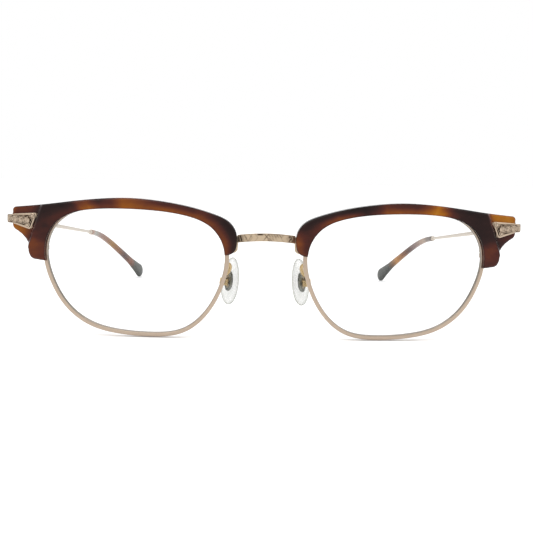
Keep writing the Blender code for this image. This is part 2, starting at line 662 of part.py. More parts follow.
def main():
    for old in list(bpy.data.objects):
        bpy.data.objects.remove(old)
    front = pivot("spectacles")
    hinge = (HINGE_X, HINGE_Y, HINGE_Z)
    pad = pad_frame() @ Vector((0, -PAD_PIVOT_DEPTH, 0))
    fronts, folds, rockers = {}, {}, {}
    for side, sign in (("left", 1), ("right", -1)):
        fronts[side] = front
        folds[side] = pivot(f"temple_{side}_fold", front, (sign * hinge[0], *hinge[1:]))
        rockers[side] = pivot(f"pad_{side}_tilt", front, (sign * pad.x, pad.y, pad.z))
    brow_holes = rims_and_lenses(fronts)
    brows(fronts, brow_holes)
    corners(fronts)
    hinges(fronts, folds)
    temples(folds)
    bridge(front)
    pads(fronts, rockers)
    stand_open(front)


main()
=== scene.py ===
"""Browline spectacles: the surfaces and finishes of every piece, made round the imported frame.

Shapes are worked out in the front's own frame, in millimetres: X to the wearer's left, Y back towards
the face, Z up, with the origin midway between the lens centres. Left pieces are computed, and right
pieces are their mirror images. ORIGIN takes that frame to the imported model's.
"""
import json
import math

import bpy
import numpy as np
from mathutils import Matrix, Vector


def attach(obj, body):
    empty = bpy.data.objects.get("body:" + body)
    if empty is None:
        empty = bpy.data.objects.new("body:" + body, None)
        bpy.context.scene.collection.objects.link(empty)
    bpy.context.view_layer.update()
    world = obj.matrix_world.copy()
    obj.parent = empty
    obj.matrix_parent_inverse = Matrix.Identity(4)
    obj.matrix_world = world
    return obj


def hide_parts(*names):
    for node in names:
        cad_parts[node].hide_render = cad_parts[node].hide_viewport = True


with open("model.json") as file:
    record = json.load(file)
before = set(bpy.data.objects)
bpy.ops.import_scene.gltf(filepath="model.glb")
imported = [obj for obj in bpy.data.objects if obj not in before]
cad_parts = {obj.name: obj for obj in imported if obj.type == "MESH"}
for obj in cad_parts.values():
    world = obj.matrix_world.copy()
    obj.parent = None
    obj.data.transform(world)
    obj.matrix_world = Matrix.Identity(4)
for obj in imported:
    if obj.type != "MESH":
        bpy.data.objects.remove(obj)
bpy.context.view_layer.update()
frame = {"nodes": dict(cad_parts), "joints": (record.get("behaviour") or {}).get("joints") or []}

MM = 0.001

# The front: its curved face, rims, brows, lugs and corner hardware
LENS_CENTRE = np.array((35.2, 0.0))
LENS_CURVE_RADIUS = 131.0
FACE_FORM_DEG = 5.0
FRONT_SETBACK = 1.0
GAP = 0.05
RIM_WIDTH = 1.15
RIM_FRONT = 0.35
RIM_BACK = 2.45
GROOVE_DEPTH = 0.45
BROW_FRONT = -1.2
BROW_BACK = 2.8
WING_X = 66.0
WING_Z = 13.0
WING_RECESS = 0.4
WING_THICKNESS = 2.0
LUG_THICKNESS = 0.5
LUG_REACH = 3.4
LUG_HALF_WIDTH = 0.9
LUG_BEARINGS_DEG = (150.0, 32.0)
LOCK = np.array((61.0, 10.2, 6.0))
LOCK_SPLIT = 0.12
LOCK_HALF_HEIGHT = 1.4
LENS_HALF = 0.75
LENS_BEVEL = 0.55

RIM_OPENING = (
    (24.1, 5.6), (22.4, 10.8), (18.0, 14.7), (11.5, 16.3), (3.0, 16.65), (-5.7, 16.3),
    (-13.9, 15.05), (-20.2, 12.25), (-23.6, 7.2), (-23.9, 1.5), (-22.2, -4.6), (-18.8, -10.6),
    (-13.0, -15.4), (-4.7, -16.7), (4.0, -16.2), (12.0, -14.2), (18.2, -9.7), (22.2, -3.3),
)
BROW_ARCH = (
    (10.2, 4.85), (9.0, 5.35), (8.2, 6.5), (7.9, 8.4), (8.15, 10.8), (9.9, 13.5), (14.0, 15.6),
    (20.0, 17.35), (28.0, 18.8), (37.0, 19.5), (44.5, 19.2), (52.0, 18.4), (60.0, 17.3), (69.0, 16.35),
)
BROW_WING_END = ((69.6, 15.7), (69.6, 11.0))
BROW_LEG = (
    (69.2, 10.4), (66.9, 8.9), (65.3, 7.0), (64.6, 5.2), (64.2, 3.6), (63.2, 2.55), (61.8, 2.4),
)
STEP_TOP = np.array((59.9, 19.0))
STEP_BOTTOM = np.array((65.4, 4.0))
STEP_BEVEL = 0.7
STEP_DEPTH = 1.7
EDGE_ROUND = 0.55
OUTER_ROUND = 0.6
LIP_ROUND = 0.35
END_ROUND = 0.5
BACK_ROUND = 0.3
LEG_SHOW = 0.45
NASAL_SHOW = 1.3
NASAL_RUN = 1.5
OUTLINE_STEP = 0.05
NOTCH_X = 14.0
NOTCH_TOP = (10.25, 10.1)
THIN_WING_X = (65.0, 65.5)
FRONT_COLUMNS = 58

PLATE = ((62.0, 14.95), (69.4, 14.45), (69.4, 11.9), (64.0, 10.25))
PLATE_THICKNESS = 0.6
TONGUE_THICKNESS = 0.6
RIVETS = {"upper": (63.3, 14.05), "lower": (64.75, 11.55)}
PLATE_SIZE = (7.0, 3.3)
PLATE_ROUND = 0.16
RIVET_HEAD_RADIUS = 0.75
RIVET_SHANK_RADIUS = 0.45
RIVET_LENGTH = 1.8
STRIP_X = 70.68
STRIP_THICKNESS = 0.84
STRIP_HEIGHT = 2.3
TONGUE_HALF_HEIGHTS = ((0, 0.7, 2.0, 3.6, 5.2), (0.62, 0.8, 0.95, 1.08, STRIP_HEIGHT / 2))
TONGUE_HALF_WIDTHS = ((0, 5.2, 6.6), (0.26, TONGUE_THICKNESS / 2, STRIP_THICKNESS / 2))
HINGE = np.array((69.0, 14.0, 13.0))

BRIDGE_HALF_SPAN = 7.8
BRIDGE_HEIGHT = 2.1
BRIDGE_THICKNESS = 1.5
BRIDGE_END_Z = 9.1
BRIDGE_ARCH = 0.65
BRIDGE_BOW = 2.2
FOOT_X = 8.8
FOOT_TOP = 10.0
FOOT_BOTTOM = 5.2
FOOT_DEPTH = 1.35
FOOT_THICKNESS = 1.3
FOOT_NEAR = (8.5, 7.75, 7.5)

# The temples and their tips
TEMPLE_PATH = (
    (70.68, 14.1, 13.0), (68.4, 42.0, 9.95), (66.0, 70.0, 6.9), (64.0, 94.0, 4.3),
    (63.1, 103.0, 3.1), (61.4, 112.0, 0.7), (58.4, 122.5, -4.0), (54.9, 134.5, -10.0),
    (51.4, 146.8, -16.53),
)
TIP_START_RUN = 81.6
TEMPLE_RUN = 139.3
WIRE_RADIUS = 0.45
COLLAR_LENGTH = 1.5
TEMPLE_HEIGHTS = ((0, 6, 24, 70, TIP_START_RUN), (STRIP_HEIGHT, 2.0, 1.4, 1.0, 2 * WIRE_RADIUS))
TEMPLE_WIDTHS = ((0, 24, 70, TIP_START_RUN), (STRIP_THICKNESS, 0.84, 0.88, 2 * WIRE_RADIUS))
TIP_HEIGHTS = ((0, 3.5, 7, 14, 26, 57), (5.5, 5.4, 4.4, 2.9, 2.3, 1.9))
TIP_WIDTHS = ((0, 10, 26, 57), (2.0, 2.1, 2.2, 1.9))

# The nose pads
PAD_CENTRE = np.array((9.8, 10.2, -3.2))
PAD_LEAN_DEG = 17.0
PAD_SPLAY_DEG = 33.0
PAD_LENGTH = 13.8
PAD_WIDTH = 7.6
PAD_THICKNESS = 2.2
PAD_HOLLOW = 0.4
PAD_TIP_FORWARD = -0.12
PAD_PIVOT_DEPTH = 1.9
PAD_CORE_HALF_WIDTH = 1.6
PAD_CORE_HALF_LENGTH = 2.9
PAD_CORE_BACK = -0.78
PAD_BOX_HALF_HEIGHT = 0.9
ARM_RADIUS = 0.5

# The studio and the camera
FLOOR_SIZE = 6.0
FLOOR_CORNERS = ((-1, -1), (1, -1), (1, 1), (-1, 1))
FLOOR_DROP = 0.0002
LIGHTS = (
    ("key", (-0.25, -0.30, 0.55), 0.45, 1.2), ("fill", (0.45, -0.10, 0.40), 0.4, 0.6),
    ("back", (0.0, 0.55, 0.50), 0.6, 0.8),
)
CAMERA_PLACE = (-3.787, -234.95, 25.77)
CAMERA_YAW = 0.0327
CAMERA_DOWN = 0.1032
CAMERA_ROLL = 0.0214
CAMERA_LENS = 59.67
CAMERA_SHIFT = (-0.0266, 0.0049)

FOLD = next(joint for joint in frame["joints"] if joint["name"] == "temple_left_fold")
ORIGIN = np.array(FOLD["pos_m"]) - MM * HINGE
SIDES = ("left", "right")


# ---- Curves and surfaces ------------------------------------------------------------------------

def unit(vectors):
    return vectors / np.linalg.norm(vectors, axis=-1, keepdims=True)


def smooth(low, high, values):
    """0 below low, 1 above high, and 3t^2 - 2t^3 of the way t between them."""
    t = np.clip((values - low) / (high - low), 0, 1)
    return t * t * (3 - 2 * t)


def bump(distance, width):
    """A soft ridge: exp(-(distance / width)^2)."""
    return np.exp(-((distance / width) ** 2))


def fine_curve(points, closed=False, per_span=120):
    """A cubic spline through the points, periodic or natural at its ends, as close points and their run."""
    p = np.array(points, float)
    if closed:
        p = np.vstack([p, p[:1]])
    step = np.linalg.norm(np.diff(p, axis=0), axis=1)
    slope = np.diff(p, axis=0) / step[:, None]
    last = len(p) - 1
    inner = np.arange(1, last)
    system = np.zeros((last + 1, last + 1))
    right = np.zeros_like(p)
    system[inner, inner - 1] = step[:-1]
    system[inner, inner] = 2 * (step[:-1] + step[1:])
    system[inner, inner + 1] = step[1:]
    right[inner] = 6 * np.diff(slope, axis=0)
    system[0, 0] = system[last, last] = 1
    if closed:
        system[0, [0, 1, last - 1]] = 2 * (step[-1] + step[0]), step[0], step[-1]
        right[0] = 6 * (slope[0] - slope[-1])
        system[last, 0] = -1
    bend = np.linalg.solve(system, right)
    t = np.linspace(0, 1, per_span, endpoint=False)[None, :, None]
    a, b = p[:-1, None], p[1:, None]
    cubic = ((1 - t) ** 3 - (1 - t)) * bend[:-1, None] + (t ** 3 - t) * bend[1:, None]
    fine = ((1 - t) * a + t * b + (step ** 2)[:, None, None] / 6 * cubic).reshape(-1, p.shape[1])
    fine = np.vstack([fine, p[-1:]])
    run = np.append(0, np.cumsum(np.linalg.norm(np.diff(fine, axis=0), axis=1)))
    return fine, run


def read_curve(curve, at):
    """The points of a fine curve at the given distances along it."""
    fine, run = curve
    return np.column_stack([np.interp(at, run, column) for column in fine.T])


def eased(start, end, count):
    """Steps from start to end that crowd towards both, as the cosine of an even turn does."""
    return start + (end - start) * (1 - np.cos(np.linspace(0, math.pi, count))) / 2


def front_face(x, z):
    """How far back the front's face lies: setback + across sin(face form) + (across^2 + z^2) / 2R."""
    across = np.abs(x) - LENS_CENTRE[0]
    sag = (across ** 2 + z ** 2) / (2 * LENS_CURVE_RADIUS)
    return FRONT_SETBACK + across * math.sin(math.radians(FACE_FORM_DEG)) + sag


def wing_face(x):
    """How far back the brow's flat wing lies: the face's mean slope at its middle, plus the recess."""
    ahead = front_face(WING_X - 1, WING_Z)
    behind = front_face(WING_X + 1, WING_Z)
    return (ahead + behind) / 2 + (behind - ahead) / 2 * (x - WING_X) + WING_RECESS


WING_ALONG = unit(np.array((1.0, float(wing_face(1.0) - wing_face(0.0)), 0.0)))
WING_BACK = np.array((-WING_ALONG[1], WING_ALONG[0], 0.0))


def through_wing(x, z, depth):
    """Points this far behind the wing's face, measured square to it."""
    flat = np.stack(np.broadcast_arrays(x, wing_face(np.asarray(x)), z), -1)
    return flat + np.asarray(depth)[..., None] * WING_BACK


def stacked(x, y, z):
    return np.stack(np.broadcast_arrays(x, y, z), -1).astype(float)


def oval(count, squareness):
    """Cosine and sine round a turn, each raised to a power: under 1 fills out the oval's corners."""
    turn = (np.arange(count) + 0.5) * 2 * math.pi / count
    c, s = np.cos(turn), np.sin(turn)
    return np.sign(c) * np.abs(c) ** squareness, np.sign(s) * np.abs(s) ** squareness


def swept(path, half_wide, half_tall, sides=40, squareness=1.0):
    """An oval section carried along a path. Its width stays level and its height square to the path."""
    along = unit(np.gradient(path, axis=0))
    side = unit(np.cross(along, (0.0, 0.0, 1.0)))
    up = np.cross(side, along)
    c, s = oval(sides, squareness)
    wide = (np.broadcast_to(half_wide, len(path))[:, None] * c)[..., None] * side[:, None]
    tall = (np.broadcast_to(half_tall, len(path))[:, None] * s)[..., None] * up[:, None]
    return path[:, None] + wide + tall


def domed(run, total, radius):
    """A quarter-round end at each end of a run: sqrt(1 - (1 - d / r)^2) of full size at distance d."""
    near = np.minimum(run, total - run)
    return np.sqrt(np.clip(1 - (1 - np.clip(near / radius, 0, 1)) ** 2, 0.0004, 1))


def placed(grid, frame_4x4):
    """A grid of points taken through a 4 x 4 frame."""
    return grid @ frame_4x4[:3, :3].T + frame_4x4[:3, 3]


def pebble(low, high, frame_4x4=np.eye(4), squareness=0.22, rows=28, cols=40):
    """A box with soft edges: a superquadric, the product of two ovals, between two corners."""
    low, high = np.array(low, float), np.array(high, float)
    lift = np.linspace(-math.pi / 2, math.pi / 2, rows)[1:-1]
    c = np.cos(lift) ** squareness
    s = np.sign(np.sin(lift)) * np.abs(np.sin(lift)) ** squareness
    ring_c, ring_s = oval(cols, squareness)
    unit_box = stacked(c[:, None] * ring_c, c[:, None] * ring_s, s[:, None] + 0 * ring_c)
    return placed((low + high) / 2 + unit_box * (high - low) / 2, frame_4x4)


def turned(profile, frame_4x4, cols=40):
    """A profile of (radius, height) turned round the frame's Z axis."""
    profile = np.array(profile, float)
    turn = np.arange(cols) * 2 * math.pi / cols
    grid = stacked(profile[:, :1] * np.cos(turn), profile[:, :1] * np.sin(turn), profile[:, 1:] + 0 * turn)
    return placed(grid, frame_4x4)


# ---- Meshes -------------------------------------------------------------------------------------

def shell(grid, marks=None, loop=False, poles=None):
    """The points, faces and marks of one closed surface. Each row of the grid is a ring. The rings join
    up in a loop, or each end ring closes on a pole, which is its own middle unless one is given."""
    rows, cols = grid.shape[:2]
    index = np.arange(rows * cols).reshape(rows, cols)
    index = np.hstack([index, index[:, :1]])
    if loop:
        index = np.vstack([index, index[:1]])
    quads = np.stack([index[:-1, :-1], index[:-1, 1:], index[1:, 1:], index[1:, :-1]], -1).reshape(-1, 4)
    points = grid.reshape(-1, 3)
    marks = np.zeros((rows, cols, 3)) if marks is None else marks
    values = marks.reshape(-1, 3)
    tris = np.zeros((0, 3), int)
    if not loop:
        ends = (grid[0].mean(0), grid[-1].mean(0)) if poles is None else poles
        points = np.vstack([points, *ends])
        values = np.vstack([values, marks[0].mean(0), marks[-1].mean(0)])
        first, final = rows * cols, rows * cols + 1
        low = np.column_stack([index[0, 1:], index[0, :-1], np.full(cols, first)])
        high = np.column_stack([index[-1, :-1], index[-1, 1:], np.full(cols, final)])
        tris = np.vstack([low, high])
    a, b, c, d = (points[quads[:, k]] for k in range(4))
    volume = (np.cross(a, b) * c).sum() + (np.cross(a, c) * d).sum()
    volume += (np.cross(points[tris[:, 0]], points[tris[:, 1]]) * points[tris[:, 2]]).sum()
    if volume < 0:
        quads, tris = quads[:, ::-1], tris[:, ::-1]
    return points, quads, tris, values


def make_piece(name, shells, finish, side="left", crease_deg=32.0):
    """One object from closed shells in the front's frame. The right side is mirrored across X."""
    points, quads, tris, marks, count = [], [], [], [], 0
    for shell_points, shell_quads, shell_tris, shell_marks in shells:
        points.append(shell_points)
        quads.append(shell_quads + count)
        tris.append(shell_tris + count)
        marks.append(shell_marks)
        count += len(shell_points)
    points, quads, tris, marks = (np.vstack(part) for part in (points, quads, tris, marks))
    if side == "right":
        points = points * (-1, 1, 1)
        quads, tris = quads[:, ::-1], tris[:, ::-1]
    mesh = bpy.data.meshes.new(name)
    mesh.from_pydata((points * MM + ORIGIN).tolist(), [], quads.tolist() + tris.tolist())
    attribute = mesh.attributes.new("marks", "FLOAT_VECTOR", "POINT")
    attribute.data.foreach_set("vector", marks.astype(np.float32).ravel())
    mesh.shade_smooth()
    mesh.set_sharp_from_angle(angle=math.radians(crease_deg))
    mesh.materials.append(finish)
    made = bpy.data.objects.new(name, mesh)
    bpy.context.scene.collection.objects.link(made)
    return made


def add_pair(name, shells, finish, bodies, nodes):
    """A left piece and its mirror image, riding on their bodies in place of their CAD nodes."""
    for side in SIDES:
        chosen = finish[side] if isinstance(finish, dict) else finish
        made = make_piece(f"{name}_{side}", shells, chosen, side)
        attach(made, bodies[side])
        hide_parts(*(f"{node}_{side}" for node in nodes))


# ---- Shader sums and finishes -------------------------------------------------------------------

class Wire:
    """A shader socket that ordinary sums can be written with."""

    def __init__(self, tree, socket):
        self.tree = tree
        self.socket = socket

    def maths(self, operation, *values):
        node = self.tree.nodes.new("ShaderNodeMath")
        node.operation = operation
        for socket, value in zip(node.inputs, values):
            join(self.tree, value, socket)
        return Wire(self.tree, node.outputs[0])

    def __add__(self, other):
        return self.maths("ADD", self, other)

    def __radd__(self, other):
        return self.maths("ADD", other, self)

    def __sub__(self, other):
        return self.maths("SUBTRACT", self, other)

    def __rsub__(self, other):
        return self.maths("SUBTRACT", other, self)

    def __mul__(self, other):
        return self.maths("MULTIPLY", self, other)

    def __rmul__(self, other):
        return self.maths("MULTIPLY", other, self)

    def clamped(self):
        return self.maths("MINIMUM", self.maths("MAXIMUM", self, 0.0), 1.0)


def join(tree, value, socket):
    """Links a wire to a socket, or sets the socket to a plain value."""
    if isinstance(value, Wire):
        tree.links.new(value.socket, socket)
    else:
        socket.default_value = value


class Finish:
    """A material whose nodes are added one call at a time."""

    def __init__(self, name):
        self.material = bpy.data.materials.new(name)
        self.material.use_nodes = True
        self.tree = self.material.node_tree
        self.shader = self.tree.nodes["Principled BSDF"]
        self.place = self.node("ShaderNodeTexCoord", {}, {}, "Object")

    def node(self, kind, settings, inputs, output):
        """Adds a node: its settings first, then its sockets, and returns one output as a wire."""
        made = self.tree.nodes.new(kind)
        for name, value in settings.items():
            if name == "stops":
                set_stops(made.color_ramp, value)
            else:
                setattr(made, name, value)
        for name, value in inputs.items():
            join(self.tree, value, made.inputs[name])
        return Wire(self.tree, made.outputs[output])

    def noise(self, scale, detail=3.0, stretch=(1, 1, 1), roughness=0.5, place=None):
        at = self.node(
            "ShaderNodeMapping", {}, {"Vector": place or self.place, "Scale": stretch}, "Vector"
        )
        inputs = {"Vector": at, "Scale": scale, "Detail": detail, "Roughness": roughness}
        return self.node("ShaderNodeTexNoise", {}, inputs, "Fac")

    def ramp(self, amount, stops):
        return self.node("ShaderNodeValToRGB", {"stops": stops}, {"Fac": amount}, "Color")

    def mix(self, amount, first, second):
        inputs = {0: amount, 6: first, 7: second}
        return self.node("ShaderNodeMix", {"data_type": "RGBA"}, inputs, 2)

    def marks(self):
        """The three marks a piece carries on its points."""
        read = self.node("ShaderNodeAttribute", {"attribute_name": "marks"}, {}, "Vector")
        split = self.tree.nodes.new("ShaderNodeSeparateXYZ")
        join(self.tree, read, split.inputs[0])
        return [Wire(self.tree, output) for output in split.outputs]

    def bumped(self, height, distance, strength=1.0):
        inputs = {"Height": height, "Distance": distance, "Strength": strength}
        return self.node("ShaderNodeBump", {}, inputs, "Normal")

    def done(self, **sockets):
        for name, value in sockets.items():
            join(self.tree, value, self.shader.inputs[name.replace("_", " ").title().replace("Ior", "IOR")])
        return self.material


def set_stops(ramp, stops):
    """Puts (place, colour) stops on a colour ramp."""
    while len(ramp.elements) < len(stops):
        ramp.elements.new(1.0)
    for element, (place, colour) in zip(ramp.elements, stops):
        element.position = place
        element.color = (*colour, 1)


def plated_metal(name, colour, patina_and_shade, roughness, grain=(1, 1, 1), dark_marks=True):
    """Satin plate: fine brushed grain, cloudy wear, and a darker colour where a piece is marked: patina in
    engraving, painted shade on the eyewire's inner wall and the tip collar.
    """
    finish = Finish(name)
    cloud = finish.noise(420, 3)
    brush = finish.noise(5200, 2, grain)
    wear = finish.mix(cloud * 0.5, (*colour, 1), (*(c * 0.86 for c in colour), 1))
    tint = wear
    if dark_marks:
        # The first mark darkens towards the darker colour: patina in engraved hollows, painted shade on the
        # eyewire's inner wall and the tip collar.
        cut, _, _ = finish.marks()
        tint = finish.mix((cut * (0.75 + cloud * 0.5)).clamped(), wear, (*patina_and_shade, 1))
    return finish.done(
        base_color=tint, metallic=1.0, roughness=roughness + (brush - 0.5) * 0.12 + cloud * 0.06,
        normal=finish.bumped(brush, 0.000012, 0.35),
    )


TORTOISE_STOPS = (
    (0.0, (0.0085, 0.0055, 0.0055)), (0.2, (0.024, 0.010, 0.009)), (0.38, (0.062, 0.016, 0.011)),
    (0.55, (0.122, 0.032, 0.010)), (0.7, (0.20, 0.058, 0.007)), (0.85, (0.30, 0.105, 0.007)),
    (1.0, (0.42, 0.19, 0.025)),
)


def tortoise_acetate():
    """Polished tortoiseshell: the piece's own run of tones, broken by long cloudy streaks, with a painted
    highlight along the step's bevel.
    """
    finish = Finish("tortoise_acetate")
    tone, bevel, _ = finish.marks()
    streak = finish.noise(260, 4, (0.35, 1.0, 1.0), 0.55)
    fleck = finish.noise(900, 3, (0.5, 1.0, 1.0), 0.6)
    mottled = tone + (streak - 0.5) * 0.30 + (fleck - 0.5) * 0.12
    colour = finish.ramp(mottled.clamped(), TORTOISE_STOPS)
    # Painted highlight: the second mark lightens the colour along the step's bevel.
    with_bevel_highlight = finish.mix(bevel.clamped(), colour, (0.23, 0.20, 0.20, 1))
    polish = finish.noise(1500, 2)
    return finish.done(
        base_color=with_bevel_highlight, roughness=0.13 + polish * 0.08, ior=1.2,
        normal=finish.bumped(finish.noise(500, 2), 0.00002, 0.15),
    )


# Colours along each tip, from its mouth to the end of its paddle
TIP_STOPS = {
    "left": (
        (0.0, (0.085, 0.060, 0.048)), (0.08, (0.13, 0.095, 0.075)), (0.18, (0.32, 0.225, 0.165)),
        (0.30, (0.17, 0.115, 0.105)), (0.42, (0.075, 0.038, 0.030)), (0.52, (0.16, 0.060, 0.020)),
        (0.62, (0.33, 0.150, 0.035)), (0.70, (0.10, 0.050, 0.022)), (0.76, (0.030, 0.032, 0.028)),
        (1.0, (0.032, 0.036, 0.032)),
    ),
    "right": (
        (0.0, (0.30, 0.165, 0.115)), (0.09, (0.24, 0.235, 0.205)), (0.18, (0.21, 0.125, 0.10)),
        (0.30, (0.22, 0.115, 0.075)), (0.40, (0.24, 0.125, 0.035)), (0.52, (0.17, 0.070, 0.032)),
        (0.62, (0.060, 0.034, 0.034)), (0.70, (0.11, 0.045, 0.028)), (0.75, (0.15, 0.050, 0.025)),
        (0.80, (0.048, 0.046, 0.038)), (1.0, (0.034, 0.040, 0.036)),
    ),
}


def tip_acetate(side):
    """Polished tip acetate: the side's own bands of colour along the tip, their edges clouded."""
    finish = Finish(f"tip_acetate_{side}")
    along, _, _ = finish.marks()
    streak = finish.noise(230, 4, (1.0, 0.4, 1.0), 0.55)
    place = (along + (streak - 0.5) * 0.12).clamped()
    polish = finish.noise(1500, 2)
    ripple = finish.bumped(finish.noise(500, 2), 0.00002, 0.15)
    colour = finish.ramp(place, TIP_STOPS[side])
    return finish.done(base_color=colour, roughness=0.14 + polish * 0.08, ior=1.22, normal=ripple)


def clear_plastic():
    """Moulded clear plastic: almost nothing face on, smoky where its edge is seen through."""
    finish = Finish("pad_clear")
    edge = finish.node("ShaderNodeLayerWeight", {}, {"Blend": 0.72}, "Facing")
    haze = finish.noise(700, 3)
    opacity = 0.06 + haze * 0.05 + edge * edge * edge * 1.1
    tint = finish.mix(edge, (0.74, 0.75, 0.72, 1), (0.24, 0.25, 0.20, 1))
    return finish.done(base_color=tint, roughness=0.12, ior=1.4, alpha=opacity.clamped())


def lens_glass():
    """Coated clear lens: a faint cool film, a little stronger edge on."""
    finish = Finish("lens_glass")
    edge = finish.node("ShaderNodeLayerWeight", {}, {"Blend": 0.3}, "Facing")
    film = finish.noise(60, 2)
    opacity = 0.015 + film * 0.01 + edge * edge * edge * 0.35
    film_colour = (0.93, 0.95, 0.95, 1)
    return finish.done(base_color=film_colour, roughness=0.03, ior=1.35, alpha=opacity.clamped())


def pad_core_metal():
    """Bright gold inside a blackened oval ring."""
    finish = Finish("pad_core_gold")
    ring, _, _ = finish.marks()
    cloud = finish.noise(900, 3)
    gold = finish.mix(cloud, (0.46, 0.32, 0.15, 1), (0.22, 0.13, 0.05, 1))
    tint = finish.mix(ring.clamped(), gold, (0.004, 0.006, 0.004, 1))
    metal = 1.0 - ring.clamped()
    return finish.done(base_color=tint, metallic=metal, roughness=0.22 + cloud * 0.15, ior=1.15)


def floor_paint():
    finish = Finish("floor_paint")
    grain = finish.noise(40, 3)
    tint = finish.mix(grain * 0.5, (0.93, 0.93, 0.93, 1), (0.90, 0.90, 0.90, 1))
    return finish.done(base_color=tint, roughness=0.9, emission_color=(1, 1, 1, 1), emission_strength=0.12)


# ---- The rims -----------------------------------------------------------------------------------

OPENING_CURVE = fine_curve(LENS_CENTRE + np.array(RIM_OPENING), closed=True)


def opening(count):
    """The rim's opening as an even loop of (x, z), with its outward normals."""
    total = OPENING_CURVE[1][-1]
    loop = read_curve(OPENING_CURVE, np.arange(count) * total / count)
    along = unit(np.roll(loop, -1, axis=0) - np.roll(loop, 1, axis=0))
    return loop, np.column_stack([along[:, 1], -along[:, 0]])


def opening_radius(angle, offset=0.0):
    """The distance from the lens centre to the opening, moved out by offset, at each angle in radians."""
    loop, normal = opening(1440)
    arm = loop + normal * offset - LENS_CENTRE
    bearing = np.arctan2(arm[:, 1], arm[:, 0])
    order = np.argsort(bearing)
    return np.interp(angle, bearing[order], np.hypot(*arm.T)[order], period=2 * math.pi)


def rim_grid(count=420, sides=44):
    """The eyewire: a full oval section with a V groove for the lens in its inner face, round the opening,
    with painted shade on its inner wall.
    """
    loop, normal = opening(count)
    c, s = oval(sides, 0.36)
    out = RIM_WIDTH / 2 * (1 - c)
    middle = (RIM_FRONT + RIM_BACK) / 2
    depth = middle + (RIM_BACK - RIM_FRONT) / 2 * s
    inner = c > 0
    out = out + inner * GROOVE_DEPTH * np.clip(1 - np.abs(depth - middle) / 0.5, 0, 1)
    place = loop[:, None] + normal[:, None] * out[None, :, None]
    x, z = place[..., 0], place[..., 1]
    grid = stacked(x, front_face(x, z) + depth, z)
    # Painted shade: the inner wall towards the lens opening is darkened, from just behind the front face
    # back.
    shade = np.clip(smooth(0.35, 0.0, out) * 0.8 + inner * 0.1, 0, 1) * smooth(RIM_FRONT, 0.7, depth)
    marks = stacked(np.broadcast_to(shade, x.shape), 0.0, 0.0)
    return grid, marks


def seat(x, z):
    """A frame on the front's face: X along it, Y back through it, Z up it."""
    step = 0.5
    ahead = np.array((x + step, front_face(x + step, z), z))
    behind = np.array((x - step, front_face(x - step, z), z))
    above = np.array((x, front_face(x, z + step), z + step))
    below = np.array((x, front_face(x, z - step), z - step))
    along = unit(ahead - behind)
    back = unit(np.cross(above - below, along))
    made = np.eye(4)
    made[:3, :3] = np.column_stack([along, back, np.cross(along, back)])
    made[:3, 3] = x, front_face(x, z), z
    return made


def lug(bearing_deg):
    """A rounded tab behind the brow, on the rim's back, with the short neck that joins them."""
    loop, normal = opening(64)
    arm = loop - LENS_CENTRE
    turned_by = np.degrees(np.arctan2(arm[:, 1], arm[:, 0])) % 360
    k = int(np.argmin(np.abs(turned_by - bearing_deg)))
    out = normal[k] + normal[k + 1]
    x, z = (loop[k] + loop[k + 1]) / 2
    swing = np.array(Matrix.Rotation(-math.atan2(out[1], out[0]), 4, "Y"))
    at = seat(x, z) @ swing
    behind = BROW_BACK + 2 * GAP
    back = behind + LUG_THICKNESS
    plate = pebble((1.25, behind, -LUG_HALF_WIDTH), (LUG_REACH, back, LUG_HALF_WIDTH), at, 0.3)
    neck = pebble((1.05, RIM_BACK - 0.4, -0.85), (1.6, back, 0.85), at, 0.25)
    return [shell(plate), shell(neck)]


def lock():
    """The rim's split block behind the leg: two soft-edged halves, each with a neck to the rim."""
    halves = []
    for low, high in ((LOCK_SPLIT, LOCK_HALF_HEIGHT), (-LOCK_HALF_HEIGHT, -LOCK_SPLIT)):
        halves.append(shell(pebble(LOCK + (-1.1, -1.0, low), LOCK + (0.9, 0.9, high))))
        halves.append(shell(pebble(LOCK + (-1.1, -2.3, low), LOCK + (-0.5, -0.5, high))))
    return halves


def rims(metal):
    grid, marks = rim_grid()
    shells = [shell(grid, marks, loop=True)]
    for bearing in LUG_BEARINGS_DEG:
        shells += lug(bearing)
    shells += lock()
    add_pair("eyewire", shells, metal, FRONT, ["rim"])


def lens_grid(count=300, levels=26):
    """A curved disc in rings. On each face the outline is scaled in towards the middle, and between the
    faces the wall runs out to a V-edge that sits in the rim's groove."""
    loop, normal = opening(count)
    growing = np.linspace(0.02, 0.985, levels)
    scale = np.concatenate([growing, [1.0, 1.0, 1.0], growing[::-1]])
    front, back = np.full(levels, -LENS_HALF), np.full(levels, LENS_HALF)
    depth = np.concatenate([front, [-LENS_BEVEL, 0.0, LENS_BEVEL], back]) + (RIM_FRONT + RIM_BACK) / 2
    grow = np.full(len(scale), -2 * GAP)
    grow[levels + 1] += GROOVE_DEPTH
    outline = loop[None] + normal[None] * grow[:, None, None]
    place = LENS_CENTRE + (outline - LENS_CENTRE) * scale[:, None, None]
    x, z = place[..., 0], place[..., 1]
    return stacked(x, front_face(x, z) + depth[:, None], z)


# ---- The brows ----------------------------------------------------------------------------------

def softened(line, spread):
    """A polyline with its corners eased by a running average, its two ends held."""
    padded = np.vstack([
        2 * line[0] - line[spread:0:-1], line, 2 * line[-1] - line[-2:-spread - 2:-1],
    ])
    weight = np.hanning(2 * spread + 3)[1:-1]
    weight /= weight.sum()
    return np.column_stack([np.convolve(column, weight, mode="valid") for column in padded.T])


